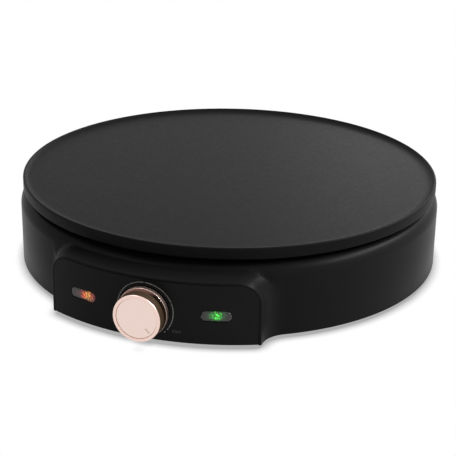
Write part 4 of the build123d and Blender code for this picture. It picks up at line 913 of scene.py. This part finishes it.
def printedScale():
    # ribbons on the panel's face: points at radius R +- half the line's width round the knob's axis
    look = printLook
    start, end = look["ends"]
    stops = [start] + [g + s * look["gapWidth"] / 2 for g in look["gaps"] for s in (1, -1)] + [end]
    radius = look["scaleRadius"] + look["lineWidth"] / 2 * np.array([[-1.0, 1.0]])
    parts = []
    for first, last in zip(stops[::2], stops[1::2]):
        turn = np.radians(np.linspace(first, last, 40))[:, None]
        ribbon = ontoPanel(radius * np.cos(turn), knobHeight + radius * np.sin(turn), look["inkHeight"])
        parts.append(gridPart(ribbon))

    # the dots are round fans in the scale's line
    angle = math.radians(-look["dotAngle"])
    turn = np.linspace(0, 2 * math.pi, 24, endpoint=False)[:, None]
    radius = look["dotRadius"] * np.array([[0.0, 1.0]])
    for side in (1, -1):
        across = side * look["scaleRadius"] * math.cos(angle) + radius * np.cos(turn)
        height = knobHeight + look["scaleRadius"] * math.sin(angle) + radius * np.sin(turn)
        parts.append(gridPart(ontoPanel(across, height, look["inkHeight"]), closeRows=True))
    makePiece("scale_printed", parts, materials["printed_ink"], "base")


def printedWord(text, side):
    # letters made into a flat mesh, then wrapped round the panel
    look = printLook
    middle, foot = look["textPlace"]
    curve = bpy.data.curves.new(text, "FONT")
    curve.body, curve.size, curve.align_x = text, look["textSize"], "CENTER"
    flat = bpy.data.objects.new(text, curve)
    mesh = bpy.data.meshes.new_from_object(flat)
    bpy.data.objects.remove(flat)
    places = np.empty(len(mesh.vertices) * 3)
    mesh.vertices.foreach_get("co", places)
    places = places.reshape(-1, 3)
    wrapped = ontoPanel(side * middle + places[:, 0], foot + places[:, 1], look["inkHeight"])
    mesh.vertices.foreach_set("co", wrapped.ravel())
    mesh.update()
    mesh.materials.clear()
    mesh.materials.append(materials["faded_ink"])
    word = bpy.data.objects.new("word_" + text.lower(), mesh)
    bpy.context.scene.collection.objects.link(word)
    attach(word, "base")


stageLook = {
    "floorSize": 6.0,
    "floorColor": "#e6e6e6",
    "floorRoughness": 0.9,
    "contactReach": 7.5 * mm,  # how far out the painted shadow at the foot reaches
    "contactOpen": (0.45, 0.97),  # open share of the sky at which the painted shadow is full, and at which it ends
    "contactTone": 0.42,
    "contactSamples": 16,
    "ambient": 0.22,
    # place, width and height, radiance
    "lamps": {
        "overhead": ((-0.55, -0.05, 1.20), (0.50, 0.42), 4.0),
        "right": ((1.00, 0.34, 0.95), (1.30, 0.24), 34.0),
        "back": ((0.20, 1.90, 0.62), (1.30, 0.44), 2.9),
    },
    "lampAim": 40.0 * mm,  # height that the lamps are turned to
    "cameraElevation": 22.20,
    "cameraAzimuth": 18.7,
    "cameraDistance": 0.983,
    "cameraRoll": 0.86,
    "targetHeight": 16.2 * mm,
    "targetShift": -0.65 * mm,
    "focalLength": 103.95,  # in millimetres, on a sensor of the width below
    "sensorWidth": 36.0,
    "nearestSeen": 10.0 * mm,
}


def shownRay(tree):
    # 1 where the camera sees the background, straight on, mirrored or through glass
    path = addNode(tree, "ShaderNodeLightPath")
    seen = joined(tree, "MAXIMUM", path.outputs["Is Camera Ray"], path.outputs["Is Glossy Ray"])
    return joined(tree, "MAXIMUM", seen, path.outputs["Is Transmission Ray"])


def paperSweep():
    # matte paper, white where it is shown, and greyer close to the object's foot, where its shadow is painted
    # into that white from the occlusion there
    look = stageLook
    half = look["floorSize"] / 2
    corners = [(-half, -half, 0), (half, -half, 0), (half, half, 0), (-half, half, 0)]
    mesh = bpy.data.meshes.new("floor")
    mesh.from_pydata(corners, [], [(0, 1, 2, 3)])
    floor = bpy.data.objects.new("floor", mesh)
    bpy.context.scene.collection.objects.link(floor)
    material, tree, shader = newMaterial("paper_sweep", look["floorColor"], look["floorRoughness"], 0.0, 0.0)
    near = addNode(
        tree,
        "ShaderNodeAmbientOcclusion",
        {"samples": look["contactSamples"], "Distance": look["contactReach"]},
    )
    # painted shadow: the shown white dims where the object's foot occludes the paper
    white = remap(tree, near.outputs["AO"], look["contactOpen"], (look["contactTone"], 1.0))
    glow = addNode(tree, "ShaderNodeEmission", {}, {"Strength": white})
    mixed = addNode(
        tree,
        "ShaderNodeMixShader",
        {},
        {0: shownRay(tree), 1: shader.outputs["BSDF"], 2: glow.outputs["Emission"]},
    )
    tree.links.new(mixed.outputs["Shader"], tree.nodes["Material Output"].inputs["Surface"])
    mesh.materials.append(material)


def studioWorld():
    # white where it is shown, and a low even light for everything else
    world = bpy.data.worlds.new("studio")
    world.use_nodes = True
    tree = world.node_tree
    background = tree.nodes["Background"]
    background.inputs["Color"].default_value = (1, 1, 1, 1)
    strength = remap(tree, shownRay(tree), toRange=(stageLook["ambient"], 1.0))
    tree.links.new(strength, background.inputs["Strength"])
    bpy.context.scene.world = world


def softbox(name, place, size, radiance):
    # an area lamp of a given radiance, turned to the object: its power is radiance x pi x area
    lamp = bpy.data.lights.new(name, "AREA")
    lamp.shape = "RECTANGLE"
    lamp.size, lamp.size_y = size
    lamp.energy = radiance * math.pi * size[0] * size[1]
    holder = bpy.data.objects.new(name, lamp)
    holder.location = place
    aim = Vector((0.0, 0.0, stageLook["lampAim"])) - Vector(place)
    holder.rotation_euler = aim.to_track_quat("-Z", "Y").to_euler()
    holder.visible_camera = False
    bpy.context.scene.collection.objects.link(holder)


def camera():
    # it looks from its azimuth and elevation at a target close to the plate's axis, and is rolled a little
    look = stageLook
    azimuth, elevation = math.radians(look["cameraAzimuth"]), math.radians(look["cameraElevation"])
    flat = math.cos(elevation)
    back = Vector((math.sin(azimuth) * flat, -math.cos(azimuth) * flat, math.sin(elevation)))
    right = Vector((math.cos(azimuth), math.sin(azimuth), 0))
    up = back.cross(right)
    roll = math.radians(look["cameraRoll"])
    rolledRight = right * math.cos(roll) + up * math.sin(roll)
    rolledUp = up * math.cos(roll) - right * math.sin(roll)
    target = Vector((0, axisY, look["targetHeight"])) + right * look["targetShift"]
    turn = Matrix((rolledRight, rolledUp, back)).transposed()
    data = bpy.data.cameras.new("camera")
    data.sensor_width = look["sensorWidth"]
    data.lens = look["focalLength"]
    data.clip_start = look["nearestSeen"]
    eye = bpy.data.objects.new("camera", data)
    eye.matrix_world = Matrix.Translation(target + back * look["cameraDistance"]) @ turn.to_4x4()
    bpy.context.scene.collection.objects.link(eye)
    bpy.context.scene.camera = eye


materials = {slotName: grained(*finish) for slotName, finish in plainFinishes.items()}
materials["element_steel"] = annealedSheath()
materials["wire_green"] = earthWire()
materials["orange_glow"] = neonLamp("neon_lamp_amber", neonLook["amber"])
materials["green_glow"] = neonLamp("neon_lamp_green", neonLook["green"])
materials["knob_shell"] = vapourCoat()
materials["knob_face"] = spunFace()
materials["orange_lens"] = litLens("polycarbonate_lit_amber", -windowLook["angle"], windowLook["orange"])
materials["green_lens"] = litLens("polycarbonate_lit_green", windowLook["angle"], windowLook["green"])
print("materials made:", len(materials))

# every CAD node takes the finish of its slot in the record
for nodeName, nodeObject in frame["nodes"].items():
    for materialSlot in nodeObject.material_slots:
        materialSlot.material = materials[slotOfNode[nodeName]]
print("CAD nodes finished:", len(frame["nodes"]))

cookingPlate()
print("cooking plate made")
housing()
print("housing made")
knobShell()
knobCap()
knobPointer()
print("knob made")
lensPiece("orange_window_lens", "orange_lens", -windowLook["angle"], materials["orange_lens"])
lensPiece("green_window_lens", "green_lens", windowLook["angle"], materials["green_lens"])
print("windows made")
printedScale()
printedWord("MAX", 1)
printedWord("MIN", -1)
print("printed scale made")

paperSweep()
studioWorld()
for lampName, lampSettings in stageLook["lamps"].items():
    softbox(lampName, *lampSettings)
camera()
bpy.context.scene.view_settings.view_transform = "Standard"
print("stage, light and camera made")
